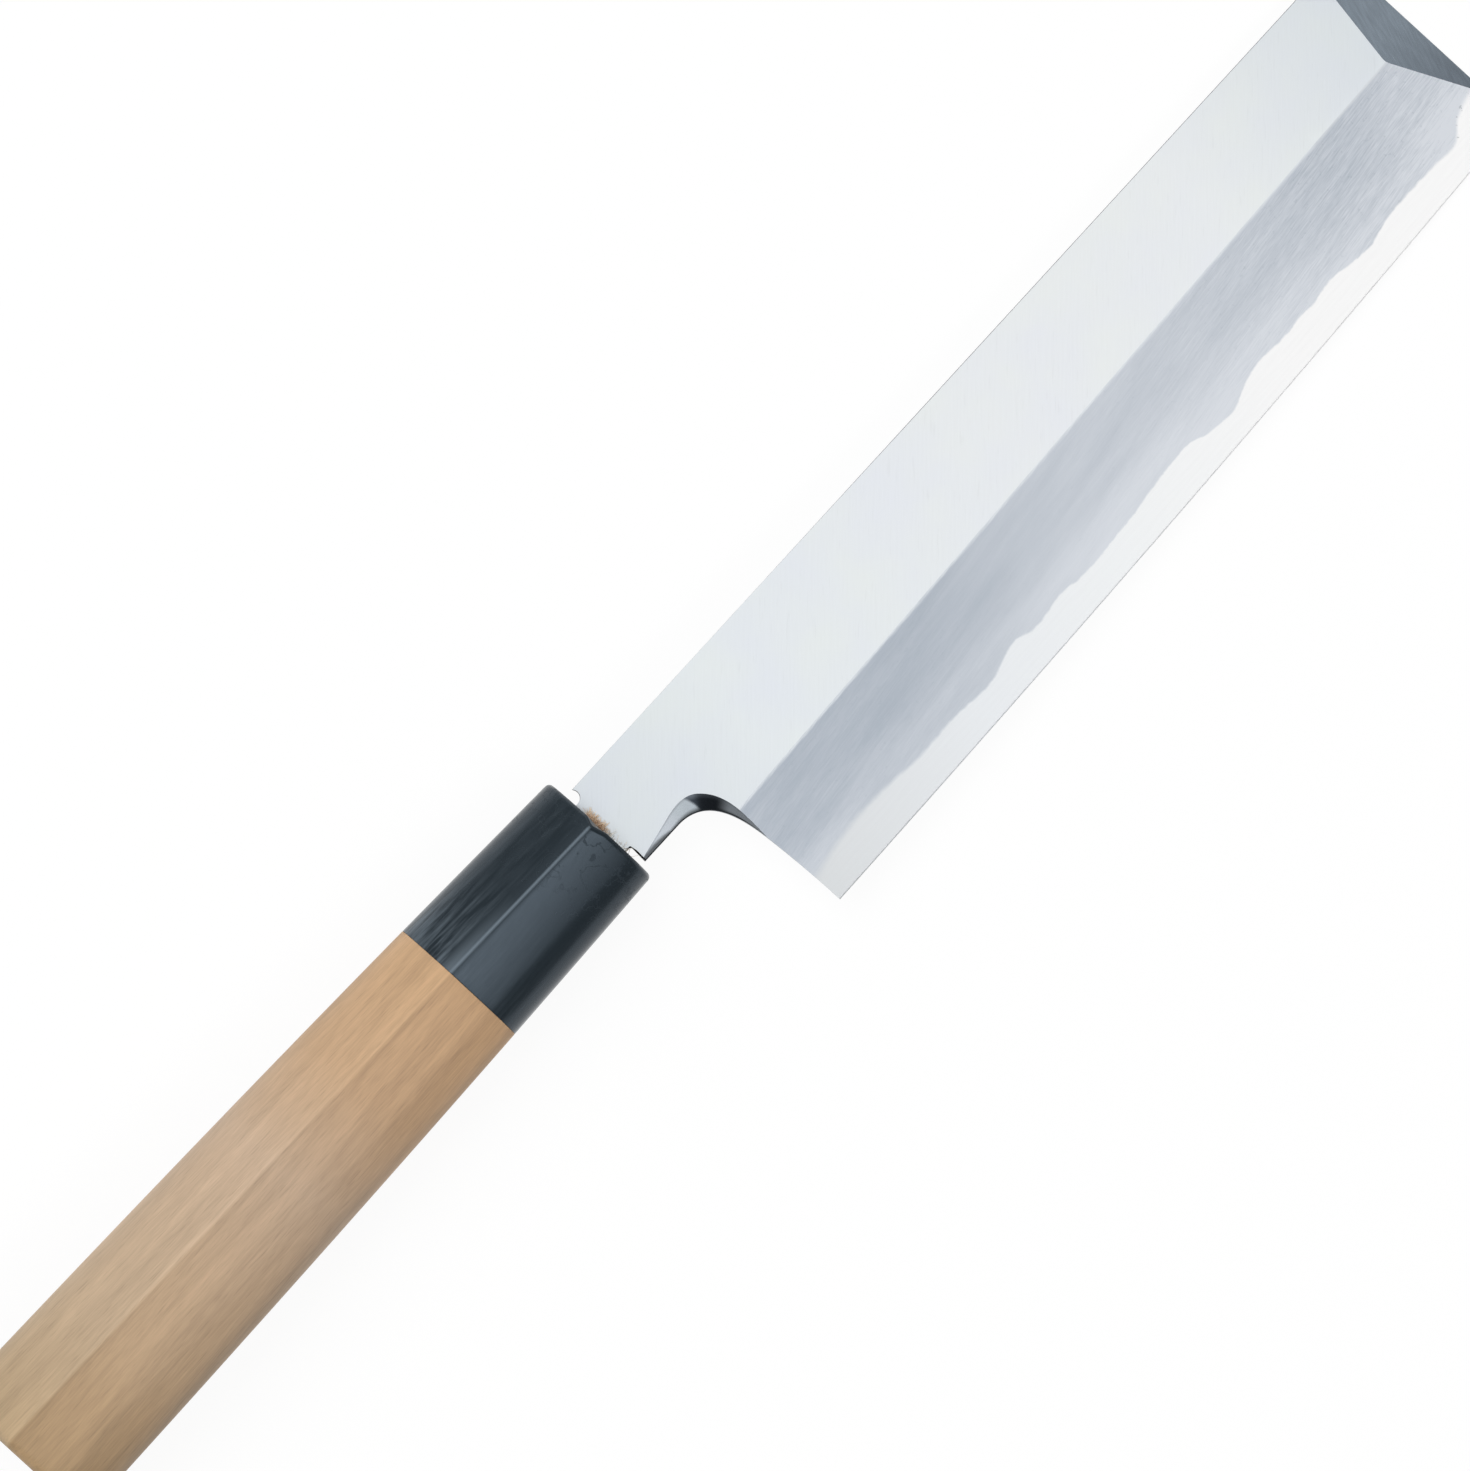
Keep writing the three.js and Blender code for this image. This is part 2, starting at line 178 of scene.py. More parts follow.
def makeCamera():
    data = bpy.data.cameras.new("camera")
    data.sensor_fit = "HORIZONTAL"
    data.lens = data.sensor_width * photo["distance"] / (photo["width"] / photo["pixelsPerMm"] * mm)
    data.clip_end = photo["clipEnd"]
    camera = bpy.data.objects.new("camera", data)
    camera.location = place @ Vector(photo["centre"]) + Vector((0, 0, photo["distance"]))
    camera.rotation_euler = (0, 0, -math.radians(photo["turn"]))
    scene.collection.objects.link(camera)
    scene.camera = camera


# Studio: a dim dome with one large soft panel, from above the knife down to its edge side, and a white floor
studio = {
    "panelLevel": 1.085,
    "panelFootLevel": 3.3,
    "panelToSpine": 24,  # degrees from straight up
    "panelFoot": (-36.5, -25.5),  # where it is brightest, and where it starts to brighten
    "panelToEdge": -45.5,
    "panelEdgeFade": 22,
    "panelToTip": 24,
    "panelFade": 11,
    "dimLevel": (0.24, 0.38),  # edge side and spine side
    "horizonLevel": (0.28, 0.44),
    "horizonTop": (6, 14),  # degrees above the floor, where its glow fades
    "sideFade": (-0.6, 0.3),  # from edge side to spine side, as the sine
    "fillPower": 58.0,
    "fillSize": 3.0,
    "fillDistance": 3.4,
    "fillTilt": 35,  # degrees from straight up, to the spine side
    "floorSize": 20.0,
    "floorGap": 0.0002,
    "floorGlow": 0.92,
}


def makeWorld():
    world = bpy.data.worlds.new("studio dome")
    scene.world = world
    world.use_nodes = True
    add = partial(addNode, world.node_tree)
    fade, edgeFade = studio["panelFade"] / 2, studio["panelEdgeFade"] / 2
    spine, edge, tip = studio["panelToSpine"], studio["panelToEdge"], studio["panelToTip"]
    facing = add("ShaderNodeTexCoord").outputs["Generated"]
    at = add("ShaderNodeSeparateXYZ", {0: facing}).outputs
    lean = add("ShaderNodeMath", {0: at["Y"], 1: at["Z"]}, operation="ARCTAN2")
    aside = add("ShaderNodeMath", {0: at["X"]}, operation="ABSOLUTE")
    borders = ((lean, math.radians(spine + fade), math.radians(spine - fade)),
               (lean, math.radians(edge - edgeFade), math.radians(edge + edgeFade)),
               (aside, math.sin(math.radians(tip + fade)), math.sin(math.radians(tip - fade))))
    panel = 1.0
    for value, outside, inside in borders:
        border = add("ShaderNodeMapRange", {
            "Value": value, "From Min": outside, "From Max": inside}, interpolation_type="SMOOTHSTEP")
        panel = add("ShaderNodeMath", {0: panel, 1: border}, operation="MULTIPLY")
    low, high = (math.sin(math.radians(a)) for a in studio["horizonTop"])
    horizon, dim = (add("ShaderNodeMapRange", {
        "Value": at["Y"], "From Min": studio["sideFade"][0], "From Max": studio["sideFade"][1],
        "To Min": levels[0], "To Max": levels[1]}, interpolation_type="SMOOTHSTEP")
        for levels in (studio["horizonLevel"], studio["dimLevel"]))
    dome = add("ShaderNodeMapRange", {
        "Value": at["Z"], "From Min": low, "From Max": high, "To Min": horizon, "To Max": dim},
        interpolation_type="SMOOTHSTEP")
    bright, plain = (math.radians(a) for a in studio["panelFoot"])
    glow = add("ShaderNodeMapRange", {
        "Value": lean, "From Min": bright, "From Max": plain,
        "To Min": studio["panelFootLevel"], "To Max": studio["panelLevel"]})
    level = add("ShaderNodeMapRange", {"Value": panel, "To Min": dome, "To Max": glow})
    connect(world.node_tree.nodes["Background"], {"Color": (1, 1, 1, 1), "Strength": level})


def makeFill():  # lifts wood and fibre to their own colours without showing in the steel
    data = bpy.data.lights.new("fill", "AREA")
    data.shape = "DISK"
    data.size = studio["fillSize"]
    data.energy = studio["fillPower"]
    lamp = bpy.data.objects.new("fill", data)
    tilt = math.radians(studio["fillTilt"])
    lamp.location = Vector((0, math.sin(tilt), math.cos(tilt))) * studio["fillDistance"]
    lamp.rotation_euler = (-tilt, 0, 0)
    lamp.visible_glossy = False
    scene.collection.objects.link(lamp)


# Matt white paint: white to the eye and in the metal, with the knife's soft shadow
def floorPaint():
    material, add, shader = startMaterial("matt white floor")
    material.node_tree.nodes.remove(shader)
    path = add("ShaderNodeLightPath").outputs
    seen = path["Is Camera Ray"]
    for ray in ("Is Glossy Ray", "Is Transmission Ray"):
        seen = add("ShaderNodeMath", {0: seen, 1: path[ray]}, operation="MAXIMUM")
    glow = studio["floorGlow"]
    plain = add("ShaderNodeBsdfDiffuse", {"Color": "#f2f2f2"})
    dimmed = add("ShaderNodeBsdfDiffuse", {"Color": (1 - glow, 1 - glow, 1 - glow, 1)})
    light = add("ShaderNodeEmission", {"Strength": glow})
    white = add("ShaderNodeAddShader", {0: dimmed, 1: light})
    both = add("ShaderNodeMixShader", {0: seen, 1: plain, 2: white})
    # one-sided, so that the knife's back shows from below
    below = add("ShaderNodeNewGeometry").outputs["Backfacing"]
    clear = add("ShaderNodeBsdfTransparent")
    oneSided = add("ShaderNodeMixShader", {0: below, 1: both, 2: clear})
    connect(material.node_tree.nodes["Material Output"], {"Surface": oneSided})
    return material


def makeFloor():
    bm = bmesh.new()
    bmesh.ops.create_grid(bm, x_segments=1, y_segments=1, size=studio["floorSize"] / 2)
    mesh = bpy.data.meshes.new("floor")
    bm.to_mesh(mesh)
    bm.free()
    mesh.materials.append(floorPaint())
    floor = bpy.data.objects.new("floor", mesh)
    floor.location = (0, 0, -studio["floorGap"])
    scene.collection.objects.link(floor)


makeCamera()
makeWorld()
makeFill()
makeFloor()
scene.view_settings.view_transform = "Standard"
print("studio ready")


# Soft iron, ground on a wheel across the blade: pale, with faint slanting lines
grindTurn = 42.5  # degrees from the knife's length


def groundIron():
    material, add, shader = startMaterial("ground soft iron", Metallic=1.0)
    grind = streaks(add, 3, 14, 0.35, turn=grindTurn)
    stroke = streaks(add, 1, 5, 0.45, turn=grindTurn)
    patches = streaks(add, 2, 11)
    along = add("ShaderNodeAttribute", attribute_name="alongEdge").outputs["Fac"]
    share = add("ShaderNodeMapRange", {"Value": along, "From Min": -0.1})
    tone = add("ShaderNodeValToRGB", {0: share})
    setRamp(tone, (0, "#e0e4e7"), (0.15, "#ebeef0"), (0.5, "#f0f1f2"), (0.76, "#f0f1f2"), (0.92, "#e6e9eb"),
            (1, "#e0e4e8"))
    tint = add("ShaderNodeMix", {"Factor": patches, "A": "#f6f8ff", "B": "#fbfefa"}, data_type="RGBA")
    tinted = add("ShaderNodeMix", {"Factor": 1.0, "A": tone, "B": tint},
                 data_type="RGBA", blend_type="MULTIPLY")
    shade = add("ShaderNodeMapRange", {
        "Value": grind, "From Min": 0.25, "From Max": 0.75, "To Min": 0.98, "To Max": 1.02})
    scratch = add("ShaderNodeMapRange", {
        "Value": stroke, "From Min": 0.64, "From Max": 0.78, "To Max": 0.035})
    shade = add("ShaderNodeMath", {0: shade, 1: scratch}, operation="SUBTRACT")
    colour = add("ShaderNodeVectorMath", {0: tinted, "Scale": shade}, operation="SCALE")
    rough = add("ShaderNodeMapRange", {"Value": grind, "To Min": 0.28, "To Max": 0.4})
    bump = add("ShaderNodeBump", {"Height": grind, "Strength": 0.08, "Distance": 0.02 * mm})
    connect(shader, {"Base Color": colour, "Roughness": rough, "Normal": bump})
    return material


# Tone of the steel band: nearly white, greyer towards the heel
def bandTone(add):
    along = add("ShaderNodeAttribute", attribute_name="alongEdge").outputs["Fac"]
    tone = add("ShaderNodeValToRGB", {0: along})
    setRamp(tone, (0, "#d0d3d5"), (0.23, "#e0e3e6"), (0.45, "#e9ebec"), (0.68, "#f1f1f1"), (1, "#f3f3f3"))
    return tone


# The same iron stoned to a haze on the bevel: blue grey, brighter at the weld, with fine lengthwise streaks
def stonedIron():
    material, add, shader = startMaterial("stoned soft iron", Metallic=1.0)
    stoneTurn = 6  # degrees
    lines = streaks(add, 4, 7, 0.3, turn=stoneTurn)
    dashes = streaks(add, 3, 2.5, 0.2, turn=stoneTurn)
    clouds = streaks(add, 2, 20, 2.5, turn=stoneTurn)
    pores = streaks(add, 2, 0.7)
    along, toWeld, fromRidge, blur = (
        add("ShaderNodeAttribute", attribute_name=name).outputs["Fac"]
        for name in ("alongEdge", "toWeld", "fromRidge", "weldBlur"))
    lengthwise = add("ShaderNodeFloatCurve", {"Value": along})
    setCurve(lengthwise, (0, 0.1), (0.23, 0.14), (0.45, 0.52), (0.7, 0.56), (0.86, 0.41), (0.94, 0.66),
             (1, 0.75))
    down = add("ShaderNodeMapRange", {
        "Value": fromRidge, "From Min": 8, "From Max": 17, "To Max": 0.38}, interpolation_type="SMOOTHSTEP")
    amount = add("ShaderNodeMath", {0: lengthwise, 1: down}, operation="ADD")
    amount = add("ShaderNodeMath", {0: clouds, 1: 0.5, 2: amount}, operation="MULTIPLY_ADD")
    grain = add("ShaderNodeMath", {0: dashes, 1: 1.1, 2: lines}, operation="MULTIPLY_ADD")
    pits = add("ShaderNodeMapRange", {"Value": pores, "From Min": 0.63, "From Max": 0.75, "To Max": 0.3})
    grain = add("ShaderNodeMath", {0: grain, 1: pits}, operation="SUBTRACT")
    grain = add("ShaderNodeMath", {0: grain, 1: 1.05}, operation="SUBTRACT")
    # smooth in the middle of the blade, more marked towards the tip
    marked = add("ShaderNodeFloatCurve", {"Value": along})
    setCurve(marked, (0, 0.4), (0.2, 0.3), (0.38, 0.15), (0.5, 0.25), (0.7, 0.6), (0.88, 0.95), (1, 1))
    amount = add("ShaderNodeMath", {0: grain, 1: marked, 2: amount}, operation="MULTIPLY_ADD")
    haze = add("ShaderNodeMapRange", {"Value": amount, "From Min": 0.25, "From Max": 1.25})
    tone = add("ShaderNodeMix", {"Factor": haze, "A": "#a8b0ba", "B": "#d3d7dd"}, data_type="RGBA")
    # the ridge is a little ragged and soft
    ragged = add("ShaderNodeMath", {0: dashes, 1: 0.8, 2: fromRidge}, operation="MULTIPLY_ADD")
    soft = add("ShaderNodeMapRange", {
        "Value": ragged, "From Min": 0.3, "From Max": 1.1, "To Min": 0.75, "To Max": 0},
        interpolation_type="SMOOTHSTEP")
    tone = add("ShaderNodeMix", {"Factor": soft, "A": tone, "B": "#e3e7eb"}, data_type="RGBA")
    # the weld wanders a little and fades over its own width
    wander = streaks(add, 3, 1.6)
    offset = add("ShaderNodeMath", {0: wander, 1: -0.6, 2: toWeld}, operation="MULTIPLY_ADD")
    fade = add("ShaderNodeMapRange", {
        "Value": offset, "From Min": -0.3, "From Max": blur, "To Min": 1, "To Max": 0},
        interpolation_type="SMOOTHSTEP")
    colour = add("ShaderNodeMix", {"Factor": fade, "A": tone, "B": bandTone(add)}, data_type="RGBA")
    # a few dark pits along the weld near the tip
    nearTip = add("ShaderNodeMapRange", {"Value": along, "From Min": 0.93, "From Max": 0.96})
    aside = add("ShaderNodeMath", {0: toWeld}, operation="ABSOLUTE")
    nearWeld = add("ShaderNodeMapRange", {
        "Value": aside, "From Min": 0.6, "From Max": 1.6, "To Min": 1, "To Max": 0})
    dots = add("ShaderNodeMapRange", {"Value": pores, "From Min": 0.64, "From Max": 0.7, "To Max": 0.6})
    dot = add("ShaderNodeMath", {0: nearTip, 1: nearWeld}, operation="MULTIPLY")
    dot = add("ShaderNodeMath", {0: dot, 1: dots}, operation="MULTIPLY")
    colour = add("ShaderNodeMix", {"Factor": dot, "A": colour, "B": "#7f868d"}, data_type="RGBA")
    rough = add("ShaderNodeMapRange", {"Value": lines, "To Min": 0.36, "To Max": 0.48})
    bump = add("ShaderNodeBump", {"Height": grain, "Strength": 0.12, "Distance": 0.02 * mm})
    connect(shader, {"Base Color": colour, "Roughness": rough, "Normal": bump})
    return material


# Iron polished on the tip facet: smooth, so it shows the dim part of the room, bluish and darker at its foot
def polishedIron():
    material, add, shader = startMaterial("polished soft iron", Metallic=1.0)
    lines = streaks(add, 3, 6, 0.4, turn=70)
    where = add("ShaderNodeTexCoord").outputs["Object"]
    y = add("ShaderNodeSeparateXYZ", {0: where}).outputs["Y"]
    up = add("ShaderNodeMapRange", {"Value": y, "From Min": -12 * mm, "From Max": 4 * mm})
    tone = add("ShaderNodeMix", {"Factor": up, "A": "#9fabb8", "B": "#bdccda"}, data_type="RGBA")
    shade = add("ShaderNodeMapRange", {"Value": lines, "To Min": 0.84, "To Max": 1.16})
    colour = add("ShaderNodeVectorMath", {0: tone, "Scale": shade}, operation="SCALE")
    rough = add("ShaderNodeMapRange", {"Value": lines, "To Min": 0.2, "To Max": 0.3})
    connect(shader, {"Base Color": colour, "Roughness": rough})
    return material


# Iron of the choil's bevel, its reflections painted into the colour: painted bright along the neck, painted
# black in the corner, painted grey towards the heel
def choilIron():
    material, add, shader = startMaterial("filed choil iron", Metallic=1.0, Roughness=0.26)
    share = add("ShaderNodeAttribute", attribute_name="choilShare").outputs["Fac"]
    across = add("ShaderNodeAttribute", attribute_name="choilAcross").outputs["Fac"]
    # painted reflection along the run: light at the neck, darker into the corner, grey towards the heel
    run = add("ShaderNodeValToRGB", {0: share})
    setRamp(run, (0, "#bfc6ce"), (0.3, "#b4bac1"), (0.4, "#adb5bb"), (0.48, "#8d949a"), (0.7, "#b2bac2"),
            (1, "#c3cad1"))
    # painted shade: a darker line along the crease
    rim = add("ShaderNodeMapRange", {"Value": across, "From Max": 0.18, "To Min": 0.7, "To Max": 1})
    # painted shade: the foot is dark, and under the neck nearly the whole width is
    footFrom, footTo = (add("ShaderNodeMapRange", {
        "Value": share, "From Min": 0.03, "From Max": 0.27, "To Min": neck, "To Max": corner})
        for neck, corner in ((-0.5, 0.64), (0.35, 0.95)))
    foot = add("ShaderNodeMapRange", {
        "Value": across, "From Min": footFrom, "From Max": footTo, "To Min": 1, "To Max": 0.2},
        interpolation_type="SMOOTHSTEP")
    shade = add("ShaderNodeMath", {0: rim, 1: foot}, operation="MULTIPLY")
    bright = add("ShaderNodeVectorMath", {0: run, "Scale": shade}, operation="SCALE")
    # painted dark reflection: the black starts at a line straight across the blade and fades along the choil,
    # paler at its crease
    skewed = add("ShaderNodeMath", {0: across, 1: -0.072, 2: share}, operation="MULTIPLY_ADD")
    starts = add("ShaderNodeMapRange", {"Value": skewed, "From Min": 0.432, "From Max": 0.455},
                 interpolation_type="SMOOTHSTEP")
    ends = add("ShaderNodeMapRange", {
        "Value": share, "From Min": 0.6, "From Max": 0.7, "To Min": 1, "To Max": 0},
        interpolation_type="SMOOTHSTEP")
    black = add("ShaderNodeMath", {0: starts, 1: ends}, operation="MULTIPLY")
    inner = add("ShaderNodeMapRange", {"Value": across, "From Max": 0.35}, interpolation_type="SMOOTHSTEP")
    darkReflection = add("ShaderNodeMix", {"Factor": inner, "A": "#555b62", "B": "#2f343a"}, data_type="RGBA")
    colour = add("ShaderNodeMix", {"Factor": black, "A": bright, "B": darkReflection}, data_type="RGBA")
    connect(shader, {"Base Color": colour})
    return material


# Iron as forged and filed on the walls and the tang: grey and dull
def forgedIron():
    material, add, shader = startMaterial("filed forged iron", Metallic=1.0)
    spots = streaks(add, 4, 1.5)
    tone = add("ShaderNodeMix", {"Factor": spots, "A": "#8f959b", "B": "#c6cbd0"}, data_type="RGBA")
    rough = add("ShaderNodeMapRange", {"Value": spots, "To Min": 0.4, "To Max": 0.6})
    connect(shader, {"Base Color": tone, "Roughness": rough})
    return material


# Iron where the corners are broken: painted dark, as the shade that falls on the rounded corners
def darkIron():
    return startMaterial("corner iron in painted shade", Metallic=1.0, Base_Color="#2b2f34", Roughness=0.45)[0]


# Hard steel of the edge, fine-stoned: bright, with faint lengthwise lines
def stonedSteel():
    material, add, shader = startMaterial("fine-stoned hard steel", Metallic=1.0)
    lines = streaks(add, 3, 9, 0.5)
    shade = add("ShaderNodeMapRange", {"Value": lines, "To Min": 0.95, "To Max": 1.03})
    colour = add("ShaderNodeVectorMath", {0: bandTone(add), "Scale": shade}, operation="SCALE")
    rough = add("ShaderNodeMapRange", {"Value": lines, "To Min": 0.36, "To Max": 0.46})
    connect(shader, {"Base Color": colour, "Roughness": rough})
    return material


# Hard steel of the back, hollow-ground on a large wheel: fine lines across the blade
def hollowSteel():
    material, add, shader = startMaterial("hollow-ground hard steel", Metallic=1.0)
    grind = streaks(add, 3, 25, 0.4, turn=90)
    colour = add("ShaderNodeMix", {"Factor": grind, "A": "#c9ced3", "B": "#e4e8eb"}, data_type="RGBA")
    rough = add("ShaderNodeMapRange", {"Value": grind, "To Min": 0.22, "To Max": 0.36})
    connect(shader, {"Base Color": colour, "Roughness": rough})
    return material


# Blade: a soft-iron body on a layer of hard steel, drawn as one plan and lifted to its levels
blade = {
    "reach": 195.2, "spine": 8.2, "neckHeight": 17.6, "neckLength": 8.0,
    "shoulder": 1.55, "shoulderSlant": (-0.35, 0.6),  # shift at the neck and at the spine
    "spineNotch": 1.4, "spineHook": 35, "edgeNotch": 0.5,
    "heelSetback": 17.5, "heelHeight": 46.7, "heelBow": 0.68, "tipHeight": 41.7, "edgeBelly": 0.72,
    "choilDrop": 12.6, "choilNeckPull": 6.4, "choilHeelPull": 7.0, "choilAngle": 24,
    # share of the choil's run, and width of its bevel there
    "choilBevel": ((0, 0.65), (0.33, 2.35), (0.47, 3.2), (0.55, 2.85), (0.68, 1.9), (0.82, 0.9), (1, 0)),
    "spineAtNeck": 3.6, "spineAtTip": 2.2, "ridgeAtHeel": 3.8, "ridgeAtTip": 3.0, "bevelWidth": 23.4,
    "ridgeSoftness": (0.015, 0.16),  # at the heel and at the tip
    "edgeLand": 0.1, "edgeApex": 0.02, "edgeBevel": 0.2, "tipWall": 0.9, "tipFacet": 14.8,
    # x, and height of the steel band above the edge
    "weld": ((19, 4.6), (25, 5.8), (32, 6.5), (40, 6.25), (46, 5.6), (55, 5.8), (64, 5.05), (72, 6.8),
             (76, 5.5), (84, 6.15), (88, 5.35), (100, 5.55), (110, 6.35), (117.5, 6.4), (120.5, 5.2),
             (127, 4.3), (131, 5.6), (136, 6.5), (142, 5.9), (147, 6.1), (150, 5.8), (154.5, 6.25),
             (163, 4.8), (170, 5.7), (177, 5.5), (181, 5.2), (186, 4.6), (188, 5.4), (190, 7.1), (195, 8.2)),
    # x, and width over which the band fades into the bevel
    "weldBlur": ((19, 1.8), (50, 0.5), (90, 0.15), (150, 0.15), (178, 0.3), (195, 1.2)),
    "weldTop": 0.75, "weldReach": 0.02, "scarf": 14.0, "spineLap": 3.0,
    "hollowDepth": 0.45, "hollowRim": 4.0, "hollowEdgeRim": 2.0,
    "tangLength": 100.0, "tangWidth": (11.7, 7.0), "tangThickness": (3.2, 2.2), "tangRamp": 3.0,
    "roundOff": 0.36, "spineRound": 0.3, "tipRound": 0.5,
    "spineRoundRamp": (40, 90),  # x from where the spine's round-off and its painted shade line start to grow, to where they are full
    "creaseAngle": 5,
}
# Its plan: spacing of points in mm, counts, and where the rows between the lines lie
planSteps = {
    "step": 1.5, "spine": 3, "facet": 0.6, "tang": 10, "neck": 2.5, "notch": 0.17, "throat": 1.2,
    "choilCount": 60, "neckCount": 8, "shoulderCount": 12, "bevelCount": 7, "flatCount": 9,
    "besideWeld": (0.4, 1.0, 1.8, -0.6, -1.6), "aboveWeld": 2.6,
    "besideRidge": (-1.2, -0.8, -0.4, 0.4, 0.8, 1.2), "nearTip": 26,
    "neckInset": 1.5, "neckFoot": -5.2, "throatX": 0.5, "throatHalf": 4.8,
    "clear": 0.4,  # room kept beside the facet's crease
}
shoulderX = blade["shoulder"]
tipX = shoulderX + blade["reach"]
heelX = shoulderX + blade["heelSetback"]
spineY = blade["spine"]
heelY = spineY - blade["heelHeight"]
edgeTipY = spineY - blade["tipHeight"]
neckY = spineY - blade["neckHeight"]
choilY = neckY - blade["choilDrop"]  # where the choil runs into the heel line
axisLift = blade["spineAtNeck"] / 2
facetSlope = math.tan(math.radians(blade["tipFacet"]))


def shoulderAt(y):
    return shoulderX + mix(*blade["shoulderSlant"], (y - neckY) / blade["neckHeight"])


def heelLineX(y):  # straight at the heel, bowed towards the choil
    return heelX - blade["heelBow"] * ((y - heelY) / (choilY - heelY)) ** 2


def alongEdge(x):
    return (x - heelX) / (tipX - heelX)


def edgeY(x):
    t = clamp(alongEdge(x))
    return mix(heelY, edgeTipY, t) - 4 * blade["edgeBelly"] * t * (1 - t)


def ridgeY(x):
    return mix(heelY, edgeTipY, alongEdge(x)) + blade["bevelWidth"]


def ridgeLevel(x):
    return mix(blade["ridgeAtHeel"], blade["ridgeAtTip"], alongEdge(x))


def groundLevel(x, y):  # the flat and the bevel, which meet in the ridge
    ridge, foot = ridgeY(x), edgeY(x)
    spine = mix(blade["spineAtNeck"], blade["spineAtTip"], (x - shoulderX) / blade["reach"])
    flat = mix(ridgeLevel(x), spine, (y - ridge) / (spineY - ridge))
    bevel = mix(blade["edgeLand"], ridgeLevel(x), (y - foot) / (ridge - foot))
    soft = mix(*blade["ridgeSoftness"], clamp(alongEdge(x)) ** 6)
    blend = max(soft - abs(flat - bevel), 0) / soft
    return min(flat, bevel) - blend * blend * soft / 4


def frontLevel(x, y):
    facet = blade["tipWall"] + (tipX - x) * facetSlope
    apex, width = blade["edgeApex"], blade["edgeBevel"]
    rise = (groundLevel(x, edgeY(x) + width) - apex) / width
    return min(groundLevel(x, y), facet, apex + max(y - edgeY(x), 0) * rise)


def facetX(y):  # where the tip facet starts
    x = tipX
    for _ in range(6):
        x = tipX - max(groundLevel(x, y) - blade["tipWall"], 0) / facetSlope
    return x


def weldY(x):
    return edgeY(x) + through(blade["weld"], x)


def inFacet(x, y):
    return x > facetX(y)


def inBand(x, y):
    return y < weldY(x) and not inFacet(x, y)


def weldLevel(x, y):  # underside of the iron
    runIn = clamp((x - shoulderAt(y)) / blade["scarf"])
    lap = clamp((spineY - y) / blade["spineLap"])
    rise = through(blade["weld"], x) * ridgeLevel(x) / blade["bevelWidth"]
    return min(rise, blade["weldTop"]) * runIn * lap


def backLevel(x, y):  # hollow-ground inside a flat rim
    rim = blade["hollowRim"]
    across = (x - heelX - rim) / (tipX - heelX - 2 * rim)
    foot = edgeY(x) + blade["hollowEdgeRim"]
    up = (y - foot) / (spineY - rim - foot)
    if not (0 < across < 1 and 0 < up < 1):
        return 0
    return blade["hollowDepth"] * (1 - abs(2 * across - 1) ** 6) * (1 - (2 * up - 1) ** 2)


def tangHalf(key, x):
    return mix(*blade[key], clamp(-x / blade["tangLength"])) / 2


def choilRun():  # neck's underside and choil as one path: share, point, crease point, bevel's width
    start = Vector((shoulderX + blade["neckLength"], neckY))
    end = Vector((heelLineX(choilY), choilY))
    endSlope = 2 * blade["heelBow"] / (choilY - heelY)
    pulls = (start, start + Vector((blade["choilNeckPull"], 0)),
             end + Vector((-endSlope, 1)) * blade["choilHeelPull"], end)
    neckCount, choilCount = planSteps["neckCount"], planSteps["choilCount"]
    path = [Vector((mix(shoulderAt(neckY), start.x, k / neckCount), neckY)) for k in range(neckCount)]
    for k in range(choilCount + 1):
        t = k / choilCount
        weights = ((1 - t) ** 3, 3 * t * (1 - t) ** 2, 3 * t * t * (1 - t), t ** 3)
        path.append(sum((w * p for w, p in zip(weights, pulls)), Vector((0, 0))))
    lengths = [0]
    for a, b in zip(path, path[1:]):
        lengths.append(lengths[-1] + (b - a).length)
    run = []
    for k, point in enumerate(path):
        tangent = (path[min(k + 1, len(path) - 1)] - path[max(k - 1, 0)]).normalized()
        share = lengths[k] / lengths[-1]
        width = max(through(blade["choilBevel"], share), 0)
        run.append((share, point, point + Vector((-tangent.y, tangent.x)) * width, width))
    return run


def ridgeMeet(run):  # where the ridge runs into the choil's crease
    after = next(k for k, (_, _, crease, _) in enumerate(run) if crease.y < ridgeY(crease.x))
    above, below = run[after - 1][2], run[after][2]
    drop = above.y - ridgeY(above.x)
    return after, above.lerp(below, drop / (drop + ridgeY(below.x) - below.y))


def notch(side, radius, hook=0):  # inside corner between tang and shoulder, hooked past a quarter turn
    away = blade["tangWidth"][0] / 2 + radius
    start = shoulderAt(side * away) - radius
    angles = spaced(0, math.radians(90 + hook), planSteps["notch"] / radius)
    return [(start + radius * math.sin(a), side * (away - radius * math.cos(a))) for a in angles]


def spineNotch():
    return notch(1, blade["spineNotch"], blade["spineHook"])


def edgeNotch():
    return notch(-1, blade["edgeNotch"])


def heelLine():
    heights = spaced(weldY(heelX), choilY, planSteps["step"])[:-1]
    return [(heelX, heelY)] + [(heelLineX(y), y) for y in heights]


def bladeOutline(run):
    step = planSteps["step"]
    tangSteps = spaced(0, -blade["tangLength"], planSteps["tang"])
    outline = [(x, spineY) for x in spaced(spineNotch()[-1][0], tipX, planSteps["spine"])]
    outline += [(tipX, y) for y in spaced(spineY, edgeTipY, step)[1:]]
    outline += [(x, edgeY(x)) for x in spaced(tipX, heelX, step)[1:]]
    outline += heelLine()[1:]
    outline += [tuple(point) for _, point, _, _ in reversed(run)]
    outline += reversed(edgeNotch())
    outline += [(x, -tangHalf("tangWidth", x)) for x in tangSteps]
    outline += [(x, tangHalf("tangWidth", x)) for x in reversed(tangSteps)]
    return outline + spineNotch()


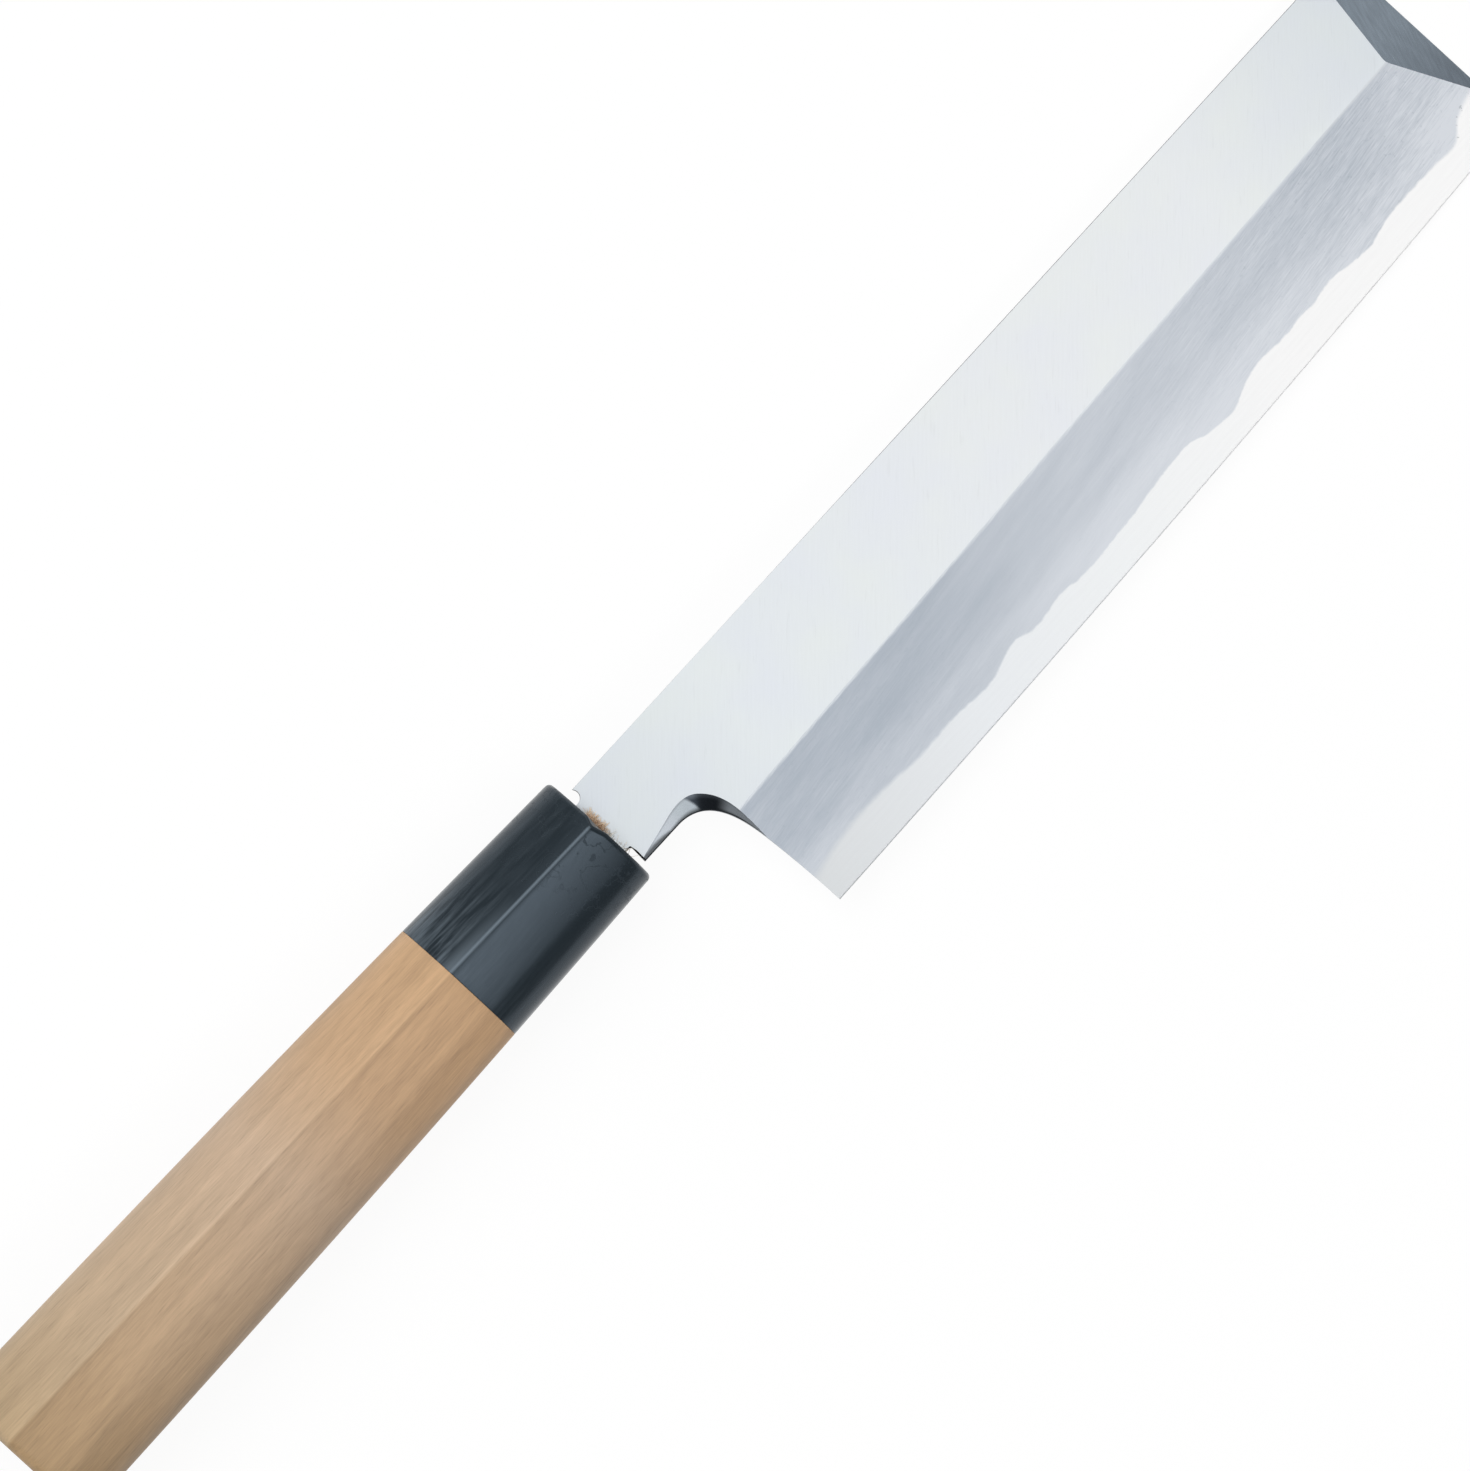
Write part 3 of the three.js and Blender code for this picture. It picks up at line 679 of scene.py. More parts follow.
def creaseLines(run):
    step = planSteps["step"]
    after, ridgeStart = ridgeMeet(run)
    crease = [tuple(point) for _, _, point, _ in run]
    yield crease[:after] + [tuple(ridgeStart)] + crease[after:]
    nearEnd = tipX - 8  # about where the ridge meets the facet
    yield [(x, ridgeY(x)) for x in spaced(ridgeStart.x, facetX(ridgeY(nearEnd)), step)]
    facetFoot = next(y for y in spaced(ridgeY(tipX), edgeTipY, 0.05) if facetX(y) > tipX - 0.01)
    yield [(facetX(y), y) for y in spaced(spineY, facetFoot, planSteps["facet"])]
    weldStart = heelLine()[1]
    weldLine = [weldStart] + [(x, weldY(x)) for x in spaced(heelX, tipX, step / 2)[1:]]
    yield [p for p in weldLine if not inFacet(*p)]
    width = blade["edgeBevel"]
    edgeStart = mix(heelX, weldStart[0], width / (weldStart[1] - heelY))
    yield [(x, edgeY(x) + width) for x in spaced(edgeStart, tipX, step)]
    low, high = Vector(edgeNotch()[-1]), Vector(max(spineNotch()))
    count = planSteps["shoulderCount"]
    yield [low.lerp(high, k / count) for k in range(count + 1)]
    for x in (-blade["tangRamp"], 0):
        yield [(x, -tangHalf("tangWidth", x)), (x, tangHalf("tangWidth", x))]


def hollowOutline():  # inner border of the flat rim round the hollow
    rim, edgeRim, step = blade["hollowRim"], blade["hollowEdgeRim"], planSteps["step"]
    left, right, top = heelX + rim, tipX - rim, spineY - rim
    outline = [(x, top) for x in spaced(left, right, step)]
    outline += [(right, y) for y in spaced(top, edgeY(right) + edgeRim, step)[1:]]
    outline += [(x, edgeY(x) + edgeRim) for x in spaced(right, left, step)[1:]]
    return outline + [(left, y) for y in spaced(edgeY(left) + edgeRim, top, step)[1:-1]]


def innerPoints():  # rows between the crease lines
    clear = planSteps["clear"]
    bevelCount, flatCount = planSteps["bevelCount"], planSteps["flatCount"]
    for x in spaced(heelX + 2 * clear, tipX - 2 * clear, planSteps["step"]):
        weld, ridge = weldY(x), ridgeY(x)
        rows = [weld + away for away in planSteps["besideWeld"]]
        rows += [mix(weld + planSteps["aboveWeld"], ridge, k / bevelCount) for k in range(bevelCount)]
        rows += [mix(ridge, spineY, k / flatCount) for k in range(1, flatCount)]
        if x > tipX - planSteps["nearTip"]:
            rows += [ridge + away for away in planSteps["besideRidge"]]
        yield from ((x, y) for y in rows if abs(x - facetX(y)) > clear and x < tipX - clear)
    inset, half = planSteps["neckInset"], planSteps["throatHalf"]
    for x in spaced(shoulderX + inset, heelX - 1, planSteps["neck"]):
        yield from ((x, y) for y in spaced(planSteps["neckFoot"], spineY - inset, planSteps["neck"]))
    yield from ((planSteps["throatX"], y) for y in spaced(-half, half, planSteps["throat"]))


def spotKey(x, y):
    return round(x, 3), round(y, 3)


def choilMarks(run):  # level, share of the run, place across the bevel and its width, by spot
    slope = math.tan(math.radians(blade["choilAngle"]))
    after, ridgeStart = ridgeMeet(run)
    share = (run[after - 1][0] + run[after][0]) / 2
    marks = {spotKey(*ridgeStart): (frontLevel(*ridgeStart), share, 0.0, 0.0)}
    for share, point, crease, width in run:
        level = frontLevel(*crease)
        marks[spotKey(*point)] = (level - width * slope, share, 1.0 if width > 0.05 else 0.0, width)
        marks.setdefault(spotKey(*crease), (level, share, 0.0, width))
    return marks


def planVertex(x, y, marks):  # levels, and the places that the finishes need
    plain = (frontLevel(max(x, shoulderX), y), 0, 0, 0)
    front, share, across, width = marks.get(spotKey(x, y), plain)
    weld = min(weldLevel(x, y), front)
    if y < weldY(x) + blade["weldReach"] and x > heelX - 2:
        weld = front
    if x < 0:
        toBlade = clamp(1 + x / blade["tangRamp"])
        half = tangHalf("tangThickness", x)
        front = mix(axisLift + half, front, toBlade)
        weld = mix(axisLift - half, weld, toBlade)
    return {"x": x, "y": y, "front": front, "weld": weld, "back": backLevel(x, y),
            "choilShare": share, "choilAcross": across, "choilWidth": width,
            "toWeld": y - weldY(x), "fromRidge": ridgeY(x) - y, "alongEdge": alongEdge(x),
            "weldBlur": through(blade["weldBlur"], x)}


def bladePlan():
    points, lines = [], []

    def draw(path, closed=False):
        start = len(points)
        points.extend(Vector(p) for p in path)
        lines.extend((start + k, start + k + 1) for k in range(len(path) - 1))
        if closed:
            lines.append((len(points) - 1, start))

    run = choilRun()
    draw(bladeOutline(run), closed=True)
    for line in creaseLines(run):
        draw(line)
    draw(hollowOutline(), closed=True)
    points.extend(Vector(p) for p in innerPoints())
    spots, _, faces, _, _, _ = delaunay_2d_cdt(points, lines, [], 1, 1e-3)
    marks = choilMarks(run)
    return [planVertex(x, y, marks) for x, y in spots], [list(f) for f in faces]


def cornerRoundShare(vertex):  # share of the round-off, which carries the painted shade of the dark corner iron, less where the wall is low
    share = clamp(vertex["front"] - vertex["weld"] - 0.1)
    if vertex["x"] > tipX - 1:
        return share * blade["tipRound"]
    if vertex["y"] > 0:
        start, full = blade["spineRoundRamp"]
        return share * blade["spineRound"] * clamp((vertex["x"] - start) / (full - start), 0.2)
    return share * clamp(vertex["choilWidth"] - 0.3) if vertex["x"] > shoulderX + 1 else share


ironFinishes = {"flat": groundIron, "bevel": stonedIron, "facet": polishedIron, "choil": choilIron,
                "wall": forgedIron, "corner": darkIron}
steelFinishes = {"band": stonedSteel, "back": hollowSteel}


def ironFinish(side, middle, bevelled):
    if side != "top" or middle.x < 0:
        return "wall"
    if bevelled:
        return "choil"
    if inFacet(middle.x, middle.y):
        return "facet"
    return "bevel" if middle.y < ridgeY(middle.x) else "flat"


def steelFinish(side, middle, bevelled):
    return "back" if side == "bottom" else "band"


def layer(vertices, faces, top, bottom, finishes, finishOf, attributes):  # solid between two levels
    bm = bmesh.new()
    weights = bm.edges.layers.float.new("bevel_weight_edge")
    layers = {name: bm.verts.layers.float.new(name) for name in attributes}
    slots = list(finishes)
    pairs = {}

    def pair(k):
        if k not in pairs:
            v = vertices[k]
            upper = bm.verts.new((v["x"], v["y"], v[top]))
            lower = upper
            if v[top] - v[bottom] > 1e-5:
                lower = bm.verts.new((v["x"], v["y"], v[bottom]))
            for name, data in layers.items():
                upper[data] = lower[data] = v[name]
            pairs[k] = (upper, lower)
        return pairs[k]

    rim = {}
    for face in faces:
        upper = [pair(k)[0] for k in face]
        lower = [pair(k)[1] for k in reversed(face)]
        if set(upper) == set(lower):
            continue
        middle = sum((v.co for v in upper), Vector()) / 3
        bevelled = any(vertices[k]["choilAcross"] > 0.5 for k in face)
        for side, corners in (("top", upper), ("bottom", lower)):
            bm.faces.new(corners).material_index = slots.index(finishOf(side, middle, bevelled))
        for a, b in zip(face, face[1:] + face[:1]):
            if rim.pop((b, a), None) is None:
                rim[(a, b)] = True
    for a, b in rim:
        corners = [pair(a)[0], pair(a)[1], pair(b)[1], pair(b)[0]]
        wall = list(dict.fromkeys(corners))
        if len(wall) > 2:
            middle = (wall[0].co + wall[-1].co) / 2
            bm.faces.new(wall).material_index = slots.index(finishOf("wall", middle, False))
            edge = bm.edges.get((corners[0], corners[3]))
            if edge and vertices[a]["x"] > -0.5:
                edge[weights] = cornerRoundShare(vertices[a])
    return bm


def roundOff(piece):  # takes the sharpness off the marked outline
    bevel = piece.modifiers.new("round off", "BEVEL")
    bevel.limit_method = "WEIGHT"
    bevel.width = blade["roundOff"] * mm
    bevel.segments = 2
    # the round-off takes the dark corner iron, as painted shade along the outline
    bevel.material = list(ironFinishes).index("corner")


def makeBlade():
    vertices, faces = bladePlan()

    def centre(face):
        return [sum(vertices[k][axis] for k in face) / 3 for axis in ("x", "y")]

    ironFaces = [f for f in faces if not inBand(*centre(f))]
    steelFaces = [f for f in faces if centre(f)[0] > shoulderAt(centre(f)[1])]
    bm = layer(vertices, ironFaces, "front", "weld", ironFinishes, ironFinish,
               ("alongEdge", "toWeld", "fromRidge", "weldBlur", "choilShare", "choilAcross"))
    iron = makePiece("bladeIron", bm, [make() for make in ironFinishes.values()], blade["creaseAngle"])
    roundOff(iron)
    finishPiece(iron, "blade_iron")
    bm = layer(vertices, steelFaces, "weld", "back", steelFinishes, steelFinish, ("alongEdge",))
    steel = makePiece("edgeSteel", bm, [make() for make in steelFinishes.values()], blade["creaseAngle"])
    finishPiece(steel, "edge_steel")
    print("blade:", len(iron.data.polygons), "iron faces,", len(steel.data.polygons), "steel faces")


makeBlade()


# Magnolia wood, sanded and bare: warm tan, redder at the ferrule, with fine dark grain lines
def magnoliaWood():
    material, add, shader = startMaterial("bare magnolia wood", Roughness=0.55)
    where = add("ShaderNodeTexCoord").outputs["Object"]
    x = add("ShaderNodeSeparateXYZ", {0: where}).outputs["X"]
    edgeSide = add("ShaderNodeAttribute", attribute_name="edgeSide").outputs["Fac"]
    fromRidge = add("ShaderNodeAttribute", attribute_name="fromRidge").outputs["Fac"]
    band = streaks(add, 2, 60, 2.6, 5, turn=1.5)
    fibre = streaks(add, 4, 6, 0.32)
    pore = streaks(add, 1, 5, 0.25)  # pores are some 0.1 mm wide and are drawn coarser, so that they show
    toFerrule = add("ShaderNodeMapRange", {"Value": x, "From Min": -172 * mm, "From Max": -60 * mm})
    base = add("ShaderNodeValToRGB", {0: toFerrule})
    setRamp(base, (0, "#b69d7b"), (0.25, "#c2a98c"), (0.6, "#c4aa90"), (0.78, "#c3a280"), (1, "#c5a17b"))
    # painted shade: the facet towards the edge is a little browner, most at the butt, in place of the paler
    # sheen that the spine side catches
    edgeSideTint = add("ShaderNodeMapRange", {
        "Value": toFerrule, "From Min": 0.15, "From Max": 0.6, "To Min": 1, "To Max": 0.3})
    edgeSideTint = add("ShaderNodeMath", {0: edgeSideTint, 1: edgeSide}, operation="MULTIPLY")
    brown = add("ShaderNodeMix", {"Factor": edgeSideTint, "A": "#ffffff", "B": "#faf1e5"}, data_type="RGBA")
    base = add("ShaderNodeMix", {"Factor": 1.0, "A": base, "B": brown},
               data_type="RGBA", blend_type="MULTIPLY")
    grain = add("ShaderNodeMix", {"Factor": 0.45, "A": band, "B": fibre})
    shade = add("ShaderNodeMapRange", {
        "Value": grain, "From Min": 0.3, "From Max": 0.7, "To Min": 0.81, "To Max": 1.19})
    dash = add("ShaderNodeMapRange", {"Value": pore, "From Min": 0.6, "From Max": 0.74})
    shade = add("ShaderNodeMath", {0: dash, 1: -0.12, 2: shade}, operation="MULTIPLY_ADD")
    # painted light: a thin painted highlight on the ridge, a painted shade line below it, and painted shade
    # darkening the lower side, most at the butt
    ridgeHighlight = add("ShaderNodeMapRange", {
        "Value": fromRidge, "From Min": 0.022, "From Max": 0.04, "To Min": 0.12, "To Max": 0})
    shade = add("ShaderNodeMath", {0: shade, 1: ridgeHighlight}, operation="ADD")
    belowRidgeShade = add("ShaderNodeMapRange", {
        "Value": fromRidge, "From Min": 0.05, "From Max": 0.1, "To Min": 0.08, "To Max": 0})
    darkest = add("ShaderNodeMapRange", {"Value": toFerrule, "To Min": 0.31, "To Max": 0.09})
    lowerSideShade = add("ShaderNodeMapRange", {
        "Value": fromRidge, "From Min": 0.3, "From Max": 1.4, "To Max": darkest})
    for dark in (lowerSideShade, belowRidgeShade):
        dark = add("ShaderNodeMath", {0: dark, 1: edgeSide}, operation="MULTIPLY")
        shade = add("ShaderNodeMath", {0: shade, 1: dark}, operation="SUBTRACT")
    colour = add("ShaderNodeVectorMath", {0: base, "Scale": shade}, operation="SCALE")
    bump = add("ShaderNodeBump", {"Height": fibre, "Strength": 0.25, "Distance": 0.05 * mm})
    connect(shader, {"Base Color": colour, "Normal": bump})
    return material


# Wood charred by the hot tang in its socket: dark brown, matt
def charredWood():
    return startMaterial("charred wood", Base_Color="#3a2a1e", Roughness=0.8)[0]


# Buffalo horn, polished: blue-black with smoky streaks towards the wood, a soft shine over fine scratches
def buffaloHorn():
    material, add, shader = startMaterial("polished buffalo horn", IOR=1.54, Specular_Tint="#d6ebff")
    where = add("ShaderNodeTexCoord").outputs["Object"]
    x = add("ShaderNodeSeparateXYZ", {0: where}).outputs["X"]
    edgeSide = add("ShaderNodeAttribute", attribute_name="edgeSide").outputs["Fac"]
    fromRidge = add("ShaderNodeAttribute", attribute_name="fromRidge").outputs["Fac"]
    smoke = streaks(add, 4, 9, 0.8)
    pale = add("ShaderNodeMapRange", {"Value": smoke, "From Min": 0.39, "From Max": 0.73})
    nearWood = add("ShaderNodeMapRange", {
        "Value": x, "From Min": -61 * mm, "From Max": -43 * mm, "To Min": 1, "To Max": 0.12})
    upper = add("ShaderNodeMapRange", {"Value": edgeSide, "To Min": 1, "To Max": 0.15})
    amount = add("ShaderNodeMath", {0: pale, 1: nearWood}, operation="MULTIPLY")
    amount = add("ShaderNodeMath", {0: amount, 1: upper}, operation="MULTIPLY")
    # the palest streak runs along the ridge
    besideRidge = add("ShaderNodeMapRange", {
        "Value": fromRidge, "From Min": 0.06, "From Max": 0.2, "To Min": 0.9, "To Max": 0})
    besideRidge = add("ShaderNodeMath", {0: besideRidge, 1: edgeSide}, operation="SUBTRACT")
    palest = add("ShaderNodeMath", {0: besideRidge, 1: nearWood}, operation="MULTIPLY")
    amount = add("ShaderNodeMath", {0: amount, 1: palest}, operation="MAXIMUM")
    tone = add("ShaderNodeMix", {"Factor": amount, "A": "#1a2227", "B": "#5e6870"}, data_type="RGBA")
    # painted highlight: a thin pale line on the ridge
    ridgeHighlight = add("ShaderNodeMapRange", {
        "Value": fromRidge, "From Min": 0.022, "From Max": 0.036, "To Min": 0.8, "To Max": 0})
    colour = add("ShaderNodeMix", {"Factor": ridgeHighlight, "A": tone, "B": "#6b767f"}, data_type="RGBA")
    scratch = streaks(add, 3, 4, 0.5, turn=12)
    rough = add("ShaderNodeMapRange", {"Value": scratch, "To Min": 0.17, "To Max": 0.29})
    # fine cracks and dull spots towards the end that faces the blade
    veins = streaks(add, 4, 4.5)
    crack = add("ShaderNodeMath", {0: veins, 1: 0.52, 2: 0.012}, operation="COMPARE")
    spot = add("ShaderNodeMapRange", {"Value": streaks(add, 2, 1.6), "From Min": 0.64, "From Max": 0.7})
    dull = add("ShaderNodeMath", {0: crack, 1: spot}, operation="MAXIMUM")
    nearFront = add("ShaderNodeMapRange", {
        "Value": x, "From Min": -42 * mm, "From Max": -28 * mm, "To Max": 0.22})
    rough = add("ShaderNodeMath", {0: dull, 1: nearFront, 2: rough}, operation="MULTIPLY_ADD")
    bump = add("ShaderNodeBump", {"Height": scratch, "Strength": 0.04, "Distance": 0.03 * mm})
    connect(shader, {"Base Color": colour, "Roughness": rough, "Normal": bump})
    return material


# Plant fibre: dry strands, brown on the spine side and straw towards the edge side
def plantFibre():
    material, add, shader = startMaterial("dry plant fibre", Roughness=0.8)
    where = add("ShaderNodeTexCoord").outputs["Object"]
    y = add("ShaderNodeSeparateXYZ", {0: where}).outputs["Y"]
    strand = add("ShaderNodeAttribute", attribute_name="strandTone").outputs["Fac"]
    side = add("ShaderNodeMapRange", {"Value": y, "From Min": 11 * mm, "From Max": 9.5 * mm})
    brown = add("ShaderNodeMix", {"Factor": strand, "A": "#a5662f", "B": "#ffebd0"}, data_type="RGBA")
    straw = add("ShaderNodeMix", {"Factor": strand, "A": "#a2947e", "B": "#faf5ea"}, data_type="RGBA")
    colour = add("ShaderNodeMix", {"Factor": side, "A": brown, "B": straw}, data_type="RGBA")
    connect(shader, {"Base Color": colour})
    return material


def startTree(name, inputs):  # node tree with named inputs
    tree = bpy.data.node_groups.new(name, "GeometryNodeTree")
    for label, kind in inputs.items():
        tree.interface.new_socket(label, in_out="INPUT", socket_type="NodeSocket" + kind)
    tree.interface.new_socket("Geometry", in_out="OUTPUT", socket_type="NodeSocketGeometry")
    add = partial(addNode, tree)
    return tree, add, add("NodeGroupInput").outputs


def endTree(add, geometry, material):
    real = add("GeometryNodeRealizeInstances", {"Geometry": geometry})
    done = add("GeometryNodeSetMaterial", {"Geometry": real, "Material": material})
    add("NodeGroupOutput", {0: done})


def grow(tree, values, start=None):  # plain mesh of a node tree with its inputs set
    carrier = bpy.data.objects.new("carrier", start or bpy.data.meshes.new("carrier"))
    scene.collection.objects.link(carrier)
    modifier = carrier.modifiers.new("nodes", "NODES")
    modifier.node_group = tree
    for item in tree.interface.items_tree:
        if item.in_out == "INPUT" and item.name in values:
            modifier[item.identifier] = values[item.name]
    mesh = bpy.data.meshes.new_from_object(carrier.evaluated_get(bpy.context.evaluated_depsgraph_get()))
    bpy.data.objects.remove(carrier)
    bm = bmesh.new()
    bm.from_mesh(mesh)
    for face in bm.faces:
        face.material_index = 0
    return bm


# Handle: ferrule and grip share one skin, a tapering oval with a ridge on its upper side
handle = {
    "Length": 146.9, "Front Half Height": 11.95, "Butt Half Height": 15.15, "Front Half Depth": 8.995,
    "Butt Half Depth": 11.2, "Taper Bow": 0.6, "Front Ridge Shift": 1.65, "Butt Ridge Shift": 3.4,
    "Ridge Rise": 2.0, "Ridge Softness": 0.02, "Flat Bow": 0.2, "Butt Rise": 0.7, "Lift": axisLift,
    "Around": 161,
}
ferrule = {"back": -35.8, "front": 0.0, "frontRound": 0.9, "frontSteps": 5, "jointRound": 0.1,
           "jointSteps": 2, "crestCut": 0.8, "crestDepth": 1.0, "stations": 14, "creaseAngle": 40}
grip = {"back": -146.9, "front": -35.8, "buttRound": 2.2, "buttSteps": 8, "jointRound": 0.15, "jointSteps": 2,
        "tenonEnd": -0.8, "pocketEnd": -4.3, "slotEnd": -106.0, "stations": 38, "creaseAngle": 40}
fit = {"gap": 0.3, "packingFace": 1.3, "packingSide": 1.2, "pocketGrow": 0.3, "tenonGrow": 1.7,
       "boreGrow": 2.0, "boreSpread": 0.6}


def handleSkinTree():
    tree, add, given = startTree("handle skin", {
        **dict.fromkeys(handle, "Float"), "Around": "Int", "Back": "Float", "Front": "Float",
        "Stations": "Int", "Material": "Material"})
    number = "ShaderNodeMath"
    grid = add("GeometryNodeMeshGrid", {
        "Size X": 1.0, "Size Y": 1.0, "Vertices X": given["Stations"], "Vertices Y": given["Around"]})
    at = add("ShaderNodeSeparateXYZ", {0: add("GeometryNodeInputPosition")}).outputs
    x = add("ShaderNodeMapRange", {
        "Value": at["X"], "From Min": -0.5, "From Max": 0.5,
        "To Min": given["Back"], "To Max": given["Front"]})
    turn = add(number, {0: at["Y"], 1: 2 * math.pi}, operation="MULTIPLY")

    # the taper swells a little in the middle
    back = add(number, {0: x, 1: -1.0}, operation="MULTIPLY")
    share = add(number, {0: back, 1: given["Length"]}, operation="DIVIDE")
    left = add(number, {0: 1.0, 1: share}, operation="SUBTRACT")
    swell = add(number, {0: left, 1: given["Taper Bow"], 2: 1.0}, operation="MULTIPLY_ADD")
    growth = add(number, {0: share, 1: swell}, operation="MULTIPLY")
    height, depth, shift = (add("ShaderNodeMapRange", {
        "Value": growth, "To Min": given["Front " + size], "To Max": given["Butt " + size]}, clamp=False)
        for size in ("Half Height", "Half Depth", "Ridge Shift"))

    # two flats touch the oval and meet in the ridge; they keep a share of its curve
    crestY = add(number, {0: shift, 1: height}, operation="DIVIDE")
    crestZ = add(number, {0: given["Ridge Rise"], 1: depth}, operation="DIVIDE")
    crestZ = add(number, {0: crestZ, 1: 1.0}, operation="ADD")
    middle = add(number, {0: crestZ, 1: crestY}, operation="ARCTAN2")
    crest = add("ShaderNodeCombineXYZ", {"X": crestY, "Y": crestZ})
    reach = add("ShaderNodeVectorMath", {0: crest}, operation="LENGTH")
    reach = add(number, {0: 1.0, 1: reach}, operation="DIVIDE")
    plain = add(number, {0: 1.0, 1: given["Flat Bow"]}, operation="SUBTRACT")
    spread = add(number, {0: reach, 1: plain}, operation="POWER")
    spread = add(number, {0: spread}, operation="ARCCOSINE")
    spread = add(number, {0: spread, 1: plain}, operation="DIVIDE")
    away = add("ShaderNodeCombineXYZ", {"X": turn, "Y": given["Ridge Softness"]})
    away = add("ShaderNodeVectorMath", {0: away}, operation="LENGTH")
    lift = add(number, {0: spread, 1: away}, operation="SUBTRACT")
    lift = add(number, {0: lift, 1: 0.0}, operation="MAXIMUM")
    lift = add(number, {0: lift, 1: plain}, operation="MULTIPLY")
    lift = add(number, {0: lift}, operation="COSINE")
    root = add(number, {0: -1.0, 1: plain}, operation="DIVIDE")
    radius = add(number, {0: lift, 1: root}, operation="POWER")
    angle = add(number, {0: middle, 1: turn}, operation="ADD")
    y = add(number, {0: angle}, operation="COSINE")
    y = add(number, {0: y, 1: radius}, operation="MULTIPLY")
    climb = add(number, {0: share, 1: given["Butt Rise"]}, operation="MULTIPLY")
    y = add(number, {0: y, 1: height, 2: climb}, operation="MULTIPLY_ADD")
    z = add(number, {0: angle}, operation="SINE")
    z = add(number, {0: z, 1: radius}, operation="MULTIPLY")
    z = add(number, {0: z, 1: depth, 2: given["Lift"]}, operation="MULTIPLY_ADD")
    toEdge = add("FunctionNodeCompare", {"A": turn, "B": 0.0}, operation="GREATER_THAN")
    skin = grid
    for name, value in (("fromRidge", away), ("edgeSide", toEdge)):
        skin = add("GeometryNodeStoreNamedAttribute", {
            "Geometry": skin, "Name": name, "Value": value}, data_type="FLOAT", domain="POINT")
    spot = add("ShaderNodeCombineXYZ", {"X": x, "Y": y, "Z": z})
    moved = add("GeometryNodeSetPosition", {"Geometry": skin, "Position": spot})
    closed = add("GeometryNodeMergeByDistance", {"Geometry": moved, "Distance": 0.001})
    endTree(add, closed, given["Material"])
    return tree


def oval(extra):  # flat-sided outline round the tang, by angle
    radius = blade["tangThickness"][0] / 2 + fit["gap"] + fit["packingFace"] + extra
    reach = blade["tangWidth"][0] / 2 + fit["gap"] + fit["packingSide"] + extra - radius

    def outline(angle):
        c, s = math.cos(angle), math.sin(angle)
        far = radius / max(abs(s), 1e-6)
        if far * abs(c) > reach:
            far = reach * abs(c) + math.sqrt(radius ** 2 - (reach * s) ** 2)
        return far * c, far * s
    return outline


def slot(x):  # outline of the tang with its gap, by angle
    width = tangHalf("tangWidth", x) + fit["gap"]
    depth = tangHalf("tangThickness", x) + fit["gap"]

    def outline(angle):
        c, s = math.cos(angle), math.sin(angle)
        far = min(width / max(abs(c), 1e-6), depth / max(abs(s), 1e-6))
        return far * c, far * s
    return outline


def ringAngle(vert):
    return math.atan2(vert.co.z - axisLift, vert.co.y)


def openRings(bm):  # the two open ends, back one first
    rim = {v for e in bm.edges if e.is_boundary for v in e.verts}
    halfway = sum(v.co.x for v in rim) / len(rim)
    return [sorted((v for v in rim if (v.co.x > halfway) == front), key=ringAngle) for front in (False, True)]


def joinRings(bm, one, other, finish):
    for k in range(len(one)):
        nextK = (k + 1) % len(one)
        bm.faces.new((one[k], one[nextK], other[nextK], other[k])).material_index = finish


def nextRing(bm, ring, x, outline, finish=0):
    fresh = []
    away = bm.verts.layers.float.get("fromRidge")
    for vert in ring:
        y, z = outline(ringAngle(vert))
        fresh.append(bm.verts.new((x, y, axisLift + z)))
        if away:
            fresh[-1][away] = 1.0
    joinRings(bm, ring, fresh, finish)
    return fresh


def roundRim(bm, ring, radius, segments):
    inRing = {v for v in ring if v.is_valid}
    rim = [e for e in bm.edges if e.verts[0] in inRing and e.verts[1] in inRing]
    bmesh.ops.bevel(bm, geom=rim, offset=radius, segments=segments, profile=0.5, affect="EDGES")


def roundEnd(bm, ring, radius, steps):  # quarter-round rim and a flat end at the back
    centre = sum((v.co for v in ring), Vector()) / len(ring)
    last = ring
    for k in range(1, steps + 1):
        angle = k / steps * math.pi / 2
        fresh = []
        for vert in ring:
            outwards = vert.co - centre
            spot = centre + outwards * (1 - radius * (1 - math.cos(angle)) / outwards.length)
            fresh.append(bm.verts.new(spot - Vector((radius * math.sin(angle), 0, 0))))
            for data in bm.verts.layers.float.values():
                fresh[-1][data] = vert[data]
        joinRings(bm, last, fresh, 0)
        last = fresh
    middle = bm.verts.new(centre - Vector((radius, 0, 0)))
    middle[bm.verts.layers.float["fromRidge"]] = 1.0
    for a, b in zip(last, last[1:] + last[:1]):
        bm.faces.new((a, b, middle))


def closeUp(bm):
    bmesh.ops.remove_doubles(bm, verts=bm.verts, dist=1e-4)
    bmesh.ops.recalc_face_normals(bm, faces=bm.faces)


def makeFerrule(tree):
    horn = buffaloHorn()
    back, front = ferrule["back"], ferrule["front"]
    bm = grow(tree, {**handle, "Back": back, "Front": front, "Stations": ferrule["stations"],
                     "Material": horn})
    backRing, frontRing = openRings(bm)
    crest = max(v.co.z for v in frontRing)
    for vert in frontRing:  # the ridge's end is sanded back
        vert.co.x -= ferrule["crestCut"] * max(0, 1 - (crest - vert.co.z) / ferrule["crestDepth"])
    bore = nextRing(bm, frontRing, front, oval(fit["boreGrow"]))
    bore = nextRing(bm, bore, back, oval(fit["boreGrow"] + fit["boreSpread"]))
    joinRings(bm, bore, backRing, 0)
    closeUp(bm)
    roundRim(bm, frontRing, ferrule["frontRound"], ferrule["frontSteps"])
    roundRim(bm, backRing, ferrule["jointRound"], ferrule["jointSteps"])
    piece = makePiece("hornFerrule", bm, [horn], ferrule["creaseAngle"])
    finishPiece(piece, "ferrule")


